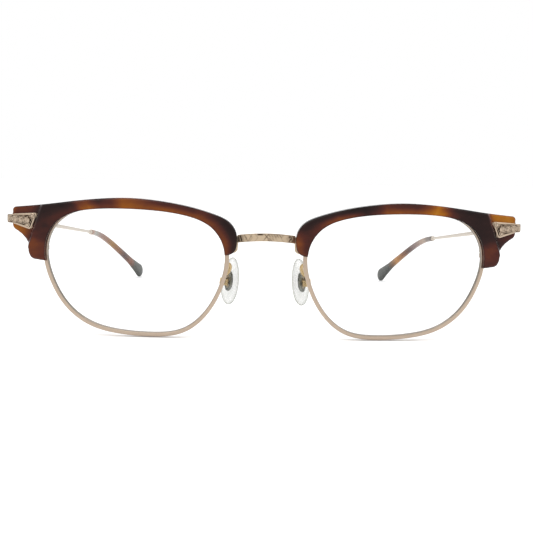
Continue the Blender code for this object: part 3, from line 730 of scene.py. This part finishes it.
def brow_outline():
    """The brow's outer edge from its nasal foot, over the top, down the wing's end and round its foot."""
    arch, leg = fine_curve(BROW_ARCH), fine_curve(BROW_LEG)
    pieces = [read_curve(arch, np.arange(0, arch[1][-1], OUTLINE_STEP))]
    wing_end = np.array(BROW_WING_END)
    between = [pieces[0][-1], wing_end[0], wing_end[1], leg[0][0]]
    for start, end in zip(between, between[1:]):
        count = max(int(np.hypot(*(end - start)) / OUTLINE_STEP), 2)
        pieces.append(start + (end - start) * np.linspace(0, 1, count, endpoint=False)[:, None])
    pieces.append(read_curve(leg, np.arange(0, leg[1][-1], OUTLINE_STEP)))
    line = softened(np.vstack(pieces), 12)
    run = np.append(0, np.cumsum(np.hypot(*np.diff(line, axis=0).T)))
    return line, run


# Tones of each wing at distances past the step: the distances, the tones above the plate and below it
WING_TONES = {
    "left": (
        (-1.0, -0.2, 0.6, 1.4, 2.4, 6.0, 9.0), (0.10, 0.26, 0.52, 0.76, 0.86, 0.88, 0.80),
        (0.06, 0.10, 0.20, 0.24, 0.26, 0.34, 0.40),
    ),
    "right": (
        (-1.0, -0.2, 0.6, 1.4, 3.0, 7.0, 8.6), (0.06, 0.10, 0.18, 0.28, 0.42, 0.46, 0.72),
        (0.06, 0.20, 0.36, 0.46, 0.66, 0.84, 0.90),
    ),
}


def past_step(x, z):
    """How far a place lies outward of the step's slanting line, measured level."""
    lean = (STEP_BOTTOM[0] - STEP_TOP[0]) / (STEP_TOP[1] - STEP_BOTTOM[1])
    return x - STEP_TOP[0] - lean * (STEP_TOP[1] - z)


def nearest(grid, edge):
    """The distance from every grid point to the closest of an edge's points, row by row."""
    return np.array([
        np.sqrt(((row[:, None] - edge[None]) ** 2).sum(-1).min(1)) for row in grid
    ])


# Tones at places along each brow, from its nasal foot: (run, tone at the lip, tone at the outer edge)
BROW_TONES = {
    "left": (
        (0, 0.40, 0.34), (2, 0.38, 0.50), (5, 0.32, 0.60), (9, 0.30, 0.16), (14, 0.42, 0.06),
        (19, 0.58, 0.14), (23, 0.46, 0.08), (27, 0.18, 0.05), (30, 0.34, 0.14), (33, 0.64, 0.38),
        (38, 0.62, 0.34), (42, 0.54, 0.28), (45.5, 0.70, 0.52), (48, 0.88, 0.80), (50.5, 0.78, 0.50),
        (53, 0.40, 0.20), (57, 0.14, 0.06), (62, 0.08, 0.10), (65, 0.08, 0.10), (70, 0.12, 0.14),
        (74, 0.20, 0.30), (77, 0.36, 0.36), (81, 0.40, 0.34), (85, 0.36, 0.34), (88, 0.30, 0.34),
    ),
    "right": (
        (0, 0.45, 0.38), (2, 0.52, 0.22), (7, 0.50, 0.10), (11, 0.50, 0.08), (14, 0.54, 0.18),
        (18, 0.58, 0.38), (22, 0.60, 0.30), (28, 0.64, 0.32), (33, 0.60, 0.46), (37, 0.68, 0.60),
        (40, 0.68, 0.64), (43, 0.46, 0.38), (46.5, 0.46, 0.24), (50, 0.74, 0.55), (52.5, 0.66, 0.45),
        (54.5, 0.36, 0.16), (57, 0.34, 0.05), (62, 0.34, 0.06), (65, 0.28, 0.08), (70, 0.22, 0.12),
        (74, 0.26, 0.36), (77, 0.34, 0.50), (81, 0.40, 0.50), (85, 0.42, 0.46), (88, 0.42, 0.42),
    ),
}


def brow_rays(line, run, rays=640):
    """Rays from the lens centre to the outer edge, crowded at both ends: their runs along the edge, its
    length, and the outer, lip and rebate points of each. The lip uncovers a little of the rim down the
    leg, and turns back as a quarter round, 1 - sqrt(1 - (1 - run)^2), at the nasal end."""
    total = run[-1]
    ends = EDGE_ROUND * (1 - np.cos(np.linspace(0, math.pi / 2, 22)))
    middle = np.linspace(EDGE_ROUND, total - EDGE_ROUND, rays)[1:-1]
    at = np.concatenate([ends, middle, total - ends[::-1]])
    outer = read_curve((line, run), at)
    arm = outer - LENS_CENTRE
    angle = np.arctan2(arm[:, 1], arm[:, 0])
    show = LEG_SHOW * smooth(math.radians(44), math.radians(24), angle)
    turn = 1 - np.clip(at / NASAL_RUN, 0, 1)
    show = show + NASAL_SHOW * (1 - np.sqrt(1 - turn ** 2))
    lip = LENS_CENTRE + unit(arm) * (opening_radius(angle) + show)[:, None]
    rebate = LENS_CENTRE + unit(arm) * opening_radius(angle, RIM_WIDTH + GAP)[:, None]
    return at, total, outer, lip, rebate


def rounded_drop(front, ray, to_outer, to_lip):
    """How far the front falls away near its edges: r - sqrt(r^2 - (r - d)^2) at a distance d inside an
    edge of round r, where the edges are the outer one, the lip, and the first and last rays."""
    arm = front - LENS_CENTRE
    to_nose = np.abs(arm[..., 0] * ray[0, 1] - arm[..., 1] * ray[0, 0])
    to_foot = np.abs(arm[..., 0] * ray[-1, 1] - arm[..., 1] * ray[-1, 0])
    distances = (to_outer, to_lip, np.minimum(to_nose, to_foot))
    rounds = (OUTER_ROUND, LIP_ROUND, END_ROUND)
    press = [np.clip(1 - distance / r, 0, 1) for distance, r in zip(distances, rounds)]
    edge = np.clip(np.sqrt(sum(p ** 2 for p in press)), 0, 1)
    size = sum(r * p for r, p in zip(rounds, press)) / (sum(press) + 1e-6)
    return size * (1 - np.sqrt(1 - edge ** 2))


def stepped_front(x, z):
    """How far back the front lies: the further back of the face and the wing, which rises to meet it
    along the step's bevel. The two corners are eased by (a + b + sqrt((a - b)^2 + e)) / 2."""
    ramp = STEP_DEPTH / STEP_BEVEL * past_step(x, z)
    ramp = (ramp + STEP_DEPTH - np.sqrt((ramp - STEP_DEPTH) ** 2 + 0.01)) / 2
    wing = wing_face(x) - STEP_DEPTH + ramp
    face = front_face(x, z) + BROW_FRONT
    return (face + wing + np.sqrt((face - wing) ** 2 + 0.0016)) / 2


def brow_back(x, z):
    """How far back the brow's back lies: nearer along the thin wing, and cut forward where the bridge's
    foot passes."""
    plain = front_face(x, z) + BROW_BACK
    thin = wing_face(x) + WING_THICKNESS
    plain = plain + (np.minimum(thin, plain) - plain) * smooth(*THIN_WING_X, x)
    notch = smooth(*NOTCH_TOP, z) * (x < NOTCH_X)
    return plain - (BROW_BACK - FOOT_DEPTH + 0.09) * notch


def brow_tone(side, grid, at, total, outer, lip):
    """The tone at every point: the brow's run of tones, blended from lip to outer edge, and past the
    step the wing's own, blended from below its plate to above."""
    table = np.array(BROW_TONES[side])
    runs = table[:, 0] / table[-1, 0] * total
    radial = np.hypot(grid[..., 0] - LENS_CENTRE[0], grid[..., 2] - LENS_CENTRE[1])
    low, high = (np.hypot(*(edge - LENS_CENTRE).T)[:, None] for edge in (lip, outer))
    share = smooth(0.15, 0.8, np.clip((radial - low) / (high - low), 0, 1))
    lip_tone, outer_tone = (np.interp(at, runs, tones)[:, None] for tones in table.T[1:])
    tone = lip_tone + (outer_tone - lip_tone) * share
    beyond = past_step(grid[..., 0], grid[..., 2])
    reach, above, below = WING_TONES[side]
    upper_tone, lower_tone = np.interp(beyond, reach, above), np.interp(beyond, reach, below)
    wing_tone = lower_tone + (upper_tone - lower_tone) * smooth(11.0, 14.0, grid[..., 2])
    return tone + (wing_tone - tone) * smooth(-0.6, 0.2, beyond)


def brow_surface(side):
    """A brow along its rays. Across each ray the front runs from the lip to the outer edge, then the
    outer wall, the back, the rebate's wall and ledge that hold the rim, and the lip's own wall."""
    line, run = brow_outline()
    at, total, outer, lip, rebate = brow_rays(line, run)
    front = lip[:, None] + (outer - lip)[:, None] * eased(0, 1, FRONT_COLUMNS)[None, :, None]
    to_outer, to_lip = nearest(front, line[::3]), nearest(front, lip[::2])
    x, z = front[..., 0], front[..., 1]
    y_front = stepped_front(x, z) + rounded_drop(front, unit(outer - LENS_CENTRE), to_outer, to_lip)

    across = eased(0, 1, 20)
    back = outer[:, None] + (rebate - outer)[:, None] * across[None, :, None]
    to_edge = np.minimum(across, 1 - across) * np.hypot(*(rebate - outer).T)[:, None]
    round_back = np.clip(1 - to_edge / BACK_ROUND, 0, 1)
    y_back = brow_back(back[..., 0], back[..., 1]) - BACK_ROUND * (1 - np.sqrt(1 - round_back ** 2))
    ledge = rebate[:, None] + (lip - rebate)[:, None] * eased(0, 1, 6)[None, :, None]
    y_ledge = front_face(ledge[..., 0], ledge[..., 1]) + RIM_FRONT - GAP

    y_wall = y_front[:, -1:] + (y_back[:, :1] - y_front[:, -1:]) * eased(0, 1, 12)[1:-1]
    y_rebate = y_back[:, -1:] + (y_ledge[:, :1] - y_back[:, -1:]) * eased(0, 1, 10)[1:]
    y_lip = y_ledge[:, -1:] + (y_front[:, :1] - y_ledge[:, -1:]) * eased(0, 1, 8)[1:-1]
    grid = np.concatenate([
        stacked(x, y_front, z), stacked(outer[:, :1], y_wall, outer[:, 1:]),
        stacked(back[..., 0], y_back, back[..., 1]), stacked(rebate[:, :1], y_rebate, rebate[:, 1:]),
        stacked(ledge[..., 0], y_ledge, ledge[..., 1])[:, 1:], stacked(lip[:, :1], y_lip, lip[:, 1:]),
    ], axis=1)

    tone = brow_tone(side, grid, at, total, outer, lip)
    # Painted shade: the front is darkened close to its outer edge and its lip.
    tone[:, :FRONT_COLUMNS] -= 0.16 * bump(np.minimum(to_outer, to_lip), 0.2)
    # Painted highlight along the step's bevel, strongest near the top of the brow.
    bevel = np.zeros_like(tone)
    shine = 0.12 + 0.6 * smooth(16.2, 17.6, z)
    bevel[:, :FRONT_COLUMNS] = bump(past_step(x, z) - 0.3, 0.3) * shine
    return grid, stacked(tone, bevel, 0.0)


def brows(acetate):
    for side in SIDES:
        grid, marks = brow_surface(side)
        inside = [ring[:FRONT_COLUMNS].mean(0) + (0, 0.5, 0) for ring in (grid[0], grid[-1])]
        made = make_piece(f"brow_bar_{side}", [shell(grid, marks, poles=inside)], acetate, side, 40.0)
        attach(made, "front")
        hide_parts(f"brow_{side}")


# ---- The bridge ---------------------------------------------------------------------------------

def slab_ring(half_tall, thick, edge, count=84):
    """A rounded slab's section as (height, depth): down the front face and up the back, with quarter
    rounds of radius edge at all four corners."""
    w = -np.cos(np.linspace(0, math.pi, count)) * half_tall
    near = np.clip(1 - (half_tall - np.abs(w)) / edge, 0, 1)
    curl = edge * (1 - np.sqrt(1 - near ** 2))
    height = np.concatenate([w, w[::-1]])
    depth = np.concatenate([curl, (thick - curl)[::-1]])
    return height, depth


def bridge_engraving(x, w):
    """Cut depth from 0 to 1 on the bridge's face. x runs along it in millimetres and w is -1 to 1 up it:
    slanting strokes along the top to one side, a crossed pair and its tails at the middle, wide
    chevrons to the other, and a scroll or a stroke near each end."""
    a = np.abs(x)
    stroke = np.abs((x * 1.35 + w * 1.1) % 1.0 - 0.5)
    hatch = bump(stroke, 0.14) * smooth(-0.2, 0.3, w) * smooth(0.2, 0.7, x) * smooth(4.6, 3.8, x)
    cross = bump(np.abs(np.abs(x) * 0.9 - np.abs(w - 0.2) * 0.8), 0.12) * bump(x, 0.9)
    tails = bump((x - 0.9 + w * 1.1) % 0.8 - 0.4, 0.12) * smooth(0.0, -0.3, w) * smooth(0.1, 0.5, x)
    tails = tails * smooth(2.3, 1.6, x)
    chevron = bump(np.abs((a - 0.9 * np.abs(w)) % 1.55 - 0.75), 0.10) * smooth(1.4, 2.2, a)
    chevron = 0.4 * chevron * smooth(6.1, 5.4, a)
    vee = bump(np.abs(x + 5.0) * 0.9 - (w + 0.9) * 0.55, 0.13) * smooth(1.3, 0.9, np.abs(x + 5.0))
    smear = smooth(0.35, 0.75, w) * smooth(-2.7, -2.2, x) * smooth(-0.7, -1.2, x)
    scroll = bump(np.hypot(x - 6.4, (w - 0.2) * 0.9) - 0.34, 0.13) * smooth(-0.2, 0.1, w + (x - 6.4) * 0.6)
    stem = bump(x - 6.4 - (w + 0.2) * 0.55, 0.13) * smooth(0.15, -0.05, w) * smooth(-0.98, -0.8, w)
    slash = bump(x + 6.95 + w * 0.35, 0.13) * smooth(0.95, 0.7, np.abs(w))
    border = bump(np.abs(w) - 0.86, 0.05) * smooth(7.3, 7.0, a) * 0.35
    middle = hatch + cross + tails + chevron + 0.45 * vee + smear
    return np.clip(middle + scroll + stem + slash + border, 0, 1)


def bridge_bar(count=440):
    """A bar arched up and bowed forward as 1 - (x / half span)^2, engraved on its face."""
    x = np.linspace(-BRIDGE_HALF_SPAN, BRIDGE_HALF_SPAN, count)[:, None]
    arch = 1 - (x / BRIDGE_HALF_SPAN) ** 2
    half = BRIDGE_HEIGHT / 2
    height, depth = slab_ring(half, BRIDGE_THICKNESS, 0.3)
    w = height / half
    on_face = smooth(0.3, 0.12, depth)
    cut = bridge_engraving(x, w) * on_face
    start = front_face(FOOT_X, FOOT_TOP) + FOOT_DEPTH - 0.2 - BRIDGE_BOW * arch
    y = start + depth + 0.13 * cut
    grid = stacked(x + 0 * height, y, BRIDGE_END_Z + BRIDGE_ARCH * arch + height)
    top_dark = 0.5 * smooth(0.75, 1.0, w) * on_face
    return grid, stacked(np.clip(cut + top_dark, 0, 1), 0.0, 0.0)


def bridge_foot():
    """The strip that runs down behind the brow from the bar's end to the rim's nasal side, a rounded
    section carried down Z between a near edge and the rim."""
    z = eased(FOOT_TOP, FOOT_BOTTOM, 70)
    loop, normal = opening(720)
    side = (loop + normal * (RIM_WIDTH + GAP))[loop[:, 0] < LENS_CENTRE[0]]
    side = side[np.argsort(side[:, 1])]
    far = np.interp(z, side[:, 1], side[:, 0]) - GAP
    near = np.interp(z, (FOOT_BOTTOM, FOOT_BOTTOM + 0.8, FOOT_TOP), FOOT_NEAR)
    low = front_face(FOOT_X, z) + FOOT_DEPTH
    c, s = oval(48, 0.35)
    ease = domed(np.abs(z - FOOT_TOP), FOOT_TOP - FOOT_BOTTOM, 0.35)[:, None]
    x = ((near + far) / 2)[:, None] + ((far - near) / 2)[:, None] * c * ease
    y = (low + FOOT_THICKNESS / 2)[:, None] + FOOT_THICKNESS / 2 * s * ease
    return stacked(x, y, z[:, None] + 0 * x)


def bridge(metal):
    bar, marks = bridge_bar()
    foot = bridge_foot()
    shells = [shell(bar, marks), shell(foot), shell(foot * (-1, 1, 1))]
    made = make_piece("bridge_bar", shells, metal)
    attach(made, "front")
    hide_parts("bridge")


# ---- The corner plates, rivets and endpieces ----------------------------------------------------

def curls(u, v):
    """Filigree height from 0 to 1: leaf scrolls as rings about a row of centres, with veins between."""
    cell = u * 2.2
    row = np.round(cell)
    swirl = np.hypot((cell - row) / 2.2, v * 0.55 - 0.16 * np.cos(row * math.pi))
    ring = bump((swirl * 5.2) % 1.0 - 0.5, 0.2)
    vein = bump(np.sin(u * 9.0 + 3.0 * v) * 0.5 - v * 0.6, 0.16)
    return np.clip(ring * 0.8 + vein * 0.6, 0, 1)


def corner_plate(count=230, columns=150):
    """The plate: a four-sided patch, blended between its corners, with a raised rim, a sunk floor of
    filigree, and walls back to the wing."""
    a, b, c, d = (np.array(corner) for corner in PLATE)
    s = -np.cos(np.linspace(0, math.pi, count))[:, None]
    t = -np.cos(np.linspace(0, math.pi, columns))[None]
    pull = 0.07 * (np.abs(s) * np.abs(t)) ** 5
    u, v = (s * (1 - pull) + 1) / 2, (t * (1 - pull) + 1) / 2
    place = (
        a * ((1 - u) * v)[..., None] + b * (u * v)[..., None]
        + c * (u * (1 - v))[..., None] + d * ((1 - u) * (1 - v))[..., None]
    )
    x, z = place[..., 0], place[..., 1]
    length, height = PLATE_SIZE
    from_edge = np.minimum(np.minimum(u, 1.0 - u * 0.999) * length, np.minimum(v, 1 - v) * height)
    curl = PLATE_ROUND * (1 - np.sqrt(1 - np.clip(1 - from_edge / PLATE_ROUND, 0, 1) ** 2))
    floor = smooth(0.42, 0.58, from_edge)
    fret = curls(u * length / 2.8, (v - 0.5) * 2) * floor
    depth = -GAP - PLATE_THICKNESS + curl + 0.2 * floor - 0.12 * fret
    top = through_wing(x, z, depth)
    under = through_wing(x, z, np.full_like(x, -GAP))
    dark = np.clip(0.95 * floor - 0.8 * fret, 0, 1)
    grid = np.concatenate([top, under[:, ::-1]], axis=1)
    shade = np.concatenate([dark, 0 * dark], axis=1)
    return grid, stacked(shade, 0.0, 0.0)


def rivet(x, z):
    """A low domed rivet head with a ring scored round it, and its shank through the wing."""
    head = -GAP - PLATE_THICKNESS - GAP
    at = np.eye(4)
    at[:3, :3] = np.column_stack([WING_ALONG, (0, 0, 1), -WING_BACK])
    at[:3, 3] = through_wing(x, z, 0.0)
    r = eased(0.02, RIVET_HEAD_RADIUS, 40)
    dome = -head + 0.34 * np.sqrt(np.clip(1 - (r / RIVET_HEAD_RADIUS) ** 2, 0, 1)) + 0.03
    dome -= 0.07 * bump(r - 0.42, 0.06)
    profile = list(zip(r, dome)) + [
        (RIVET_HEAD_RADIUS, -head), (RIVET_SHANK_RADIUS, -head), (RIVET_SHANK_RADIUS, -RIVET_LENGTH),
        (0.02, -RIVET_LENGTH),
    ]
    grid = turned(profile, at)
    shade = np.zeros(len(profile))
    shade[:len(r)] = 0.9 * bump(r - 0.42, 0.08) + 0.6 * smooth(0.66, 0.75, r)
    return grid, stacked(np.broadcast_to(shade[:, None], grid.shape[:2]), 0.0, 0.0)


def endpiece_surface(count=420, sides=84):
    """The tongue on the plate that wraps round the corner and back to the hinge: a rounded strip along
    a smooth route, with a leaf scroll engraved on its outer face."""
    lay = -GAP - PLATE_THICKNESS - 2 * GAP - TONGUE_THICKNESS / 2
    laid = (
        (64.35, 0.12, 12.75), (65.6, 0.05, 12.8), (67.4, 0.0, 12.95), (69.3, 0.0, 13.1),
        (70.45, 0.42, 13.15),
    )
    on_plate = [(x, float(wing_face(x)) + lay + more, z) for x, more, z in laid]
    round_corner = [(STRIP_X, 10.2, 13.1), (STRIP_X, 12.0, 13.05), (STRIP_X, 13.9, 13.0)]
    route = fine_curve(on_plate + round_corner)
    total = route[1][-1]
    at = eased(0, total, count)
    path = read_curve(route, at)
    tall, thick = np.interp(at, *TONGUE_HALF_HEIGHTS), np.interp(at, *TONGUE_HALF_WIDTHS)
    end = domed(at, total, 0.5)
    along = unit(np.gradient(path, axis=0))
    out = unit(np.cross(along, (0.0, 0.0, 1.0)))
    c, s = oval(sides, 0.34)
    w = s[None] * np.ones((count, 1))
    facing = smooth(0.55, 0.9, c)[None]
    leaf = curls((at * 0.40)[:, None], w) * smooth(0.95, 0.75, np.abs(w))
    border = bump(np.abs(w) - 0.86, 0.06)
    cut = np.clip(leaf + border, 0, 1) * facing * smooth(0.2, 0.6, at)[:, None]
    reach = thick[:, None] * end[:, None] * c - 0.07 * cut
    grid = path[:, None] + out[:, None] * reach[..., None]
    grid = grid + (tall * end)[:, None, None] * s[None, :, None] * np.array((0.0, 0.0, 1.0))
    return grid, stacked(cut, 0.0, 0.0)


def corner_hardware(metal):
    grid, marks = corner_plate()
    add_pair("corner_shield", [shell(grid, marks)], metal, FRONT, ["corner_plate"])
    for name, (x, z) in RIVETS.items():
        grid, marks = rivet(x, z)
        shells = [shell(grid, marks)]
        add_pair(f"domed_rivet_{name}", shells, metal, FRONT, [f"rivet_{name}"])
    grid, marks = endpiece_surface()
    add_pair("engraved_endpiece", [shell(grid, marks)], metal, FRONT, ["endpiece"])


# ---- The temples --------------------------------------------------------------------------------

TEMPLE_CURVE = fine_curve(TEMPLE_PATH)


def along_temple(run):
    """Points on the temple's centre line at distances from its front end."""
    return read_curve(TEMPLE_CURVE, run * TEMPLE_CURVE[1][-1] / TEMPLE_RUN)


def temples(metal):
    """The flat strip that tapers to a wire: an oval section whose height and width follow its run."""
    end = TIP_START_RUN + 2
    run = np.concatenate([eased(0, 1.2, 30)[:15], np.linspace(0.65, end, 420)])
    tall, wide = np.interp(run, *TEMPLE_HEIGHTS), np.interp(run, *TEMPLE_WIDTHS)
    start = np.sqrt(np.clip(1 - (1 - np.clip(run / 0.5, 0, 1)) ** 2, 0.02, 1))
    grid = swept(along_temple(run), wide / 2 * start, tall / 2 * start, 48, 0.5)
    add_pair("temple_strip", [shell(grid)], metal, TEMPLES, ["temple"])


def ferrules(metal):
    """The collar at the tip's mouth: a turned profile with two beads, and painted shade in the groove
    between them and at its joint with the tip.
    """
    run = np.linspace(TIP_START_RUN - COLLAR_LENGTH, TIP_START_RUN - GAP, 60)
    share = (run - run[0]) / (run[-1] - run[0])
    radius = 0.62 + 0.24 * smooth(0.0, 0.35, share) - 0.07 * bump(share - 0.55, 0.07)
    radius = radius * np.sqrt(np.clip(1 - (np.abs(share - 0.5) * 2) ** 14, 0.05, 1))
    grid = swept(along_temple(run), radius, radius, 40)
    # Painted shade: dark in the groove between the beads and at the end that meets the tip.
    shade = np.clip(0.9 * bump(share - 0.55, 0.1) + smooth(0.8, 0.95, share), 0, 1)
    marks = stacked(np.broadcast_to(shade[:, None], grid.shape[:2]), 0.0, 0.0)
    add_pair("tip_collar", [shell(grid, marks)], metal, TEMPLES, ["tip_ferrule"])


def tips(acetate):
    """The acetate tip: an oval section that fills out into a paddle, by its distance from the end, with
    a quarter-round end and mouth."""
    at = eased(TIP_START_RUN, TEMPLE_RUN, 420)
    left = TEMPLE_RUN - at
    rounding = np.sqrt(np.clip(1 - (1 - np.clip(left / 3.4, 0, 1)) ** 2, 0.0004, 1))
    mouth = np.sqrt(np.clip(1 - (1 - np.clip((at - TIP_START_RUN) / 0.35, 0, 1)) ** 2, 0.45, 1))
    tall = np.interp(left, *TIP_HEIGHTS)
    tall = np.convolve(np.pad(tall, 9, mode="edge"), np.ones(19) / 19, mode="valid") * rounding * mouth
    wide = np.interp(left, *TIP_WIDTHS) * rounding ** 0.7 * mouth
    grid = swept(along_temple(at), wide / 2, tall / 2, 56, 0.85)
    share = (at - TIP_START_RUN) / (TEMPLE_RUN - TIP_START_RUN)
    marks = stacked(np.broadcast_to(share[:, None], grid.shape[:2]), 0.0, 0.0)
    add_pair("temple_tip_acetate", [shell(grid, marks)], acetate, TEMPLES, ["temple_tip"])


# ---- The nose pads ------------------------------------------------------------------------------

def pad_frame():
    """The left pad's frame: X along its width, Y out of its skin face, Z up its length."""
    splay, lean = math.radians(PAD_SPLAY_DEG), math.radians(PAD_LEAN_DEG)
    face = np.array((-math.cos(splay), math.sin(splay), 0.0))
    up = np.array((-math.sin(lean), PAD_TIP_FORWARD, math.cos(lean)))
    up = unit(up - face * (up @ face))
    made = np.eye(4)
    made[:3, :3] = np.column_stack([np.cross(face, up), face, up])
    made[:3, 3] = PAD_CENTRE
    return made


def pad_shell(rows=64, cols=120):
    """A teardrop pillow: the outline (cos t (1 - 0.12 sin t), sin t), scaled by cos^0.38 of the lift, and
    a thickness of sin of the lift, with a shallow hollow in its back where the box rocks."""
    lift = np.linspace(-math.pi / 2, math.pi / 2, rows)[1:-1, None]
    turn = np.arange(cols) * 2 * math.pi / cols
    scale = np.cos(lift) ** 0.38
    x = scale * PAD_WIDTH / 2 * np.cos(turn) * (1 - 0.12 * np.sin(turn))
    z = scale * PAD_LENGTH / 2 * np.sin(turn)
    y = PAD_THICKNESS / 2 * np.sin(lift) + 0 * turn
    y = y + PAD_HOLLOW * np.exp(-((x / 1.8) ** 2 + (z / 2.0) ** 2) ** 2) * (y < 0)
    return placed(stacked(x, y, z), pad_frame())


def pad_core():
    """The metal core: an oval plate with a blackened raised ring and quarter-round edges, and the boss
    that the pad rocks on."""
    frame_4x4 = pad_frame()
    share = eased(0.02, 1, 60)
    turn = np.arange(72) * 2 * math.pi / 72
    x = share[:, None] * PAD_CORE_HALF_WIDTH * np.cos(turn)
    z = share[:, None] * PAD_CORE_HALF_LENGTH * np.sin(turn)
    curl = 0.3 * (1 - np.sqrt(1 - np.clip((share - 0.9) / 0.1, 0, 1) ** 2))
    back = PAD_CORE_BACK - 0.14 * bump(share - 0.84, 0.11) + curl
    under = -GAP - curl[::-1]
    x, z = np.vstack([x, x[::-1]]), np.vstack([z, z[::-1]])
    y = np.concatenate([back, under])[:, None] + 0 * x
    grid = placed(stacked(x, y, z), frame_4x4)
    shade = np.concatenate([smooth(0.62, 0.74, share), smooth(0.62, 0.74, share[::-1])])
    marks = stacked(np.broadcast_to(shade[:, None], grid.shape[:2]), 0.0, 0.0)
    boss = pebble((-0.5, -PAD_PIVOT_DEPTH - 0.55, -0.8), (0.5, -0.7, 0.8), frame_4x4, 0.3)
    return [shell(grid, marks), shell(boss)]


def pad_arm():
    """The wire from the rim's back, out and down to the pad's box: a round section on a smooth route."""
    frame_4x4 = pad_frame()
    box_top = placed(np.array((0.0, -PAD_PIVOT_DEPTH - 0.05, PAD_BOX_HALF_HEIGHT + GAP)), frame_4x4)
    start = (11.15, float(front_face(11.15, 1.6)) + RIM_BACK + GAP + 0.45, 1.6)
    route = fine_curve((
        start, (10.3, 4.6, 2.15), (9.8, 5.1, 1.6), (9.95, 5.9, 0.3), (10.55, 6.95, -0.8),
        (11.25, 8.0, -1.35), box_top,
    ))
    at = eased(0, route[1][-1], 150)
    end = domed(at, route[1][-1], 0.3)
    path = read_curve(route, at)
    along = unit(np.gradient(path, axis=0))
    side = unit(np.cross(along, (0.3, 0.9, 0.1)))
    up = np.cross(side, along)
    turn = np.arange(32) * 2 * math.pi / 32
    ring = side[:, None] * np.cos(turn)[None, :, None] + up[:, None] * np.sin(turn)[None, :, None]
    return path[:, None] + ring * (ARM_RADIUS * end)[:, None, None]


def nose_pads(clear, core, arm):
    add_pair("pad_pillow", [shell(pad_shell())], clear, PADS, ["nose_pad"])
    add_pair("pad_core_plate", pad_core(), core, PADS, ["pad_core"])
    add_pair("pad_arm_wire", [shell(pad_arm())], arm, FRONT, ["pad_arm"])


# ---- The studio ---------------------------------------------------------------------------------

def studio():
    """A pale floor, a bright even sky, and three soft lights: a key in front, a fill and a back light."""
    mesh = bpy.data.meshes.new("floor")
    corners = [(across * FLOOR_SIZE, back * FLOOR_SIZE, -FLOOR_DROP) for across, back in FLOOR_CORNERS]
    mesh.from_pydata(corners, [], [(0, 1, 2, 3)])
    mesh.materials.append(floor_paint())
    floor = bpy.data.objects.new("floor", mesh)
    bpy.context.scene.collection.objects.link(floor)

    world = bpy.data.worlds.new("studio_sky")
    world.use_nodes = True
    sky = world.node_tree.nodes["Background"]
    sky.inputs["Color"].default_value = (1.0, 1.0, 1.0, 1)
    sky.inputs["Strength"].default_value = 1.0
    bpy.context.scene.world = world

    for name, place, width, power in LIGHTS:
        lamp = bpy.data.lights.new(name, "AREA")
        lamp.shape = "DISK"
        lamp.size = width
        lamp.energy = power
        holder = bpy.data.objects.new(name, lamp)
        holder.location = place
        holder.rotation_euler = Vector(place).to_track_quat("Z", "Y").to_euler()
        bpy.context.scene.collection.objects.link(holder)


def camera():
    """The camera, a little right of the middle line and above, looking slightly down."""
    place = ORIGIN + MM * np.array(CAMERA_PLACE)
    level_share = math.cos(CAMERA_DOWN)
    ahead = (math.sin(CAMERA_YAW) * level_share, math.cos(CAMERA_YAW) * level_share, -math.sin(CAMERA_DOWN))
    forward = Vector(ahead)
    level = forward.cross(Vector((0, 0, 1))).normalized()
    rise = level.cross(forward)
    right = level * math.cos(CAMERA_ROLL) + rise * math.sin(CAMERA_ROLL)
    up = right.cross(forward)
    made = bpy.data.objects.new("camera", bpy.data.cameras.new("camera"))
    made.matrix_world = Matrix.Translation(place) @ Matrix((right, up, -forward)).transposed().to_4x4()
    made.data.lens = CAMERA_LENS
    made.data.shift_x, made.data.shift_y = CAMERA_SHIFT
    made.data.clip_start = 0.01
    bpy.context.scene.collection.objects.link(made)
    bpy.context.scene.camera = made


def repaint(nodes, finish):
    """Gives kept CAD nodes a finish, in place of their plain one."""
    for side in SIDES:
        for node in nodes:
            mesh = frame["nodes"][f"{node}_{side}"].data
            mesh.materials.clear()
            mesh.materials.append(finish)


FRONT = {"left": "front", "right": "front"}
TEMPLES = {"left": "temple_left", "right": "temple_right"}
PADS = {"left": "pad_left", "right": "pad_right"}
STEEL_NODES = (
    "hinge_front", "hinge_temple", "hinge_screw", "brow_screw_inner", "brow_screw_outer", "rim_screw",
)

# Finishes: each metal's name, colour, patina and painted shade colour, roughness and the stretch of its
# grain
# The rose gold's darker colour is painted shade on the eyewire's inner wall, and the pale gold's is painted
# shade on the tip collar.
rose_gold = plated_metal("rose_gold_satin", (0.46, 0.365, 0.285), (0.13, 0.115, 0.09), 0.32)
antique_gold = plated_metal("antique_gold_engraved", (0.50, 0.395, 0.295), (0.035, 0.022, 0.014), 0.28)
bridge_gold = plated_metal("bridge_gold_engraved", (0.52, 0.41, 0.29), (0.05, 0.028, 0.018), 0.45)
pale_gold = plated_metal("pale_gold_satin", (0.54, 0.48, 0.41), (0.06, 0.055, 0.03), 0.3, (1, 0.1, 1))
pad_gold = plated_metal("pad_gold", (0.50, 0.37, 0.20), (0.2, 0.14, 0.06), 0.22, dark_marks=False)
steel = plated_metal("plated_steel", (0.55, 0.50, 0.42), (0.1, 0.1, 0.1), 0.26, dark_marks=False)
glass = lens_glass()

rims(rose_gold)
add_pair("lens_pane", [shell(lens_grid())], glass, FRONT, ["lens"])
brows(tortoise_acetate())
bridge(bridge_gold)
corner_hardware(antique_gold)
temples(pale_gold)
ferrules(pale_gold)
tips({side: tip_acetate(side) for side in SIDES})
nose_pads(clear_plastic(), pad_core_metal(), pad_gold)
repaint(STEEL_NODES, steel)
repaint(("pad_box", "pad_screw"), pad_gold)
studio()
camera()
bpy.context.scene.view_settings.view_transform = "Standard"
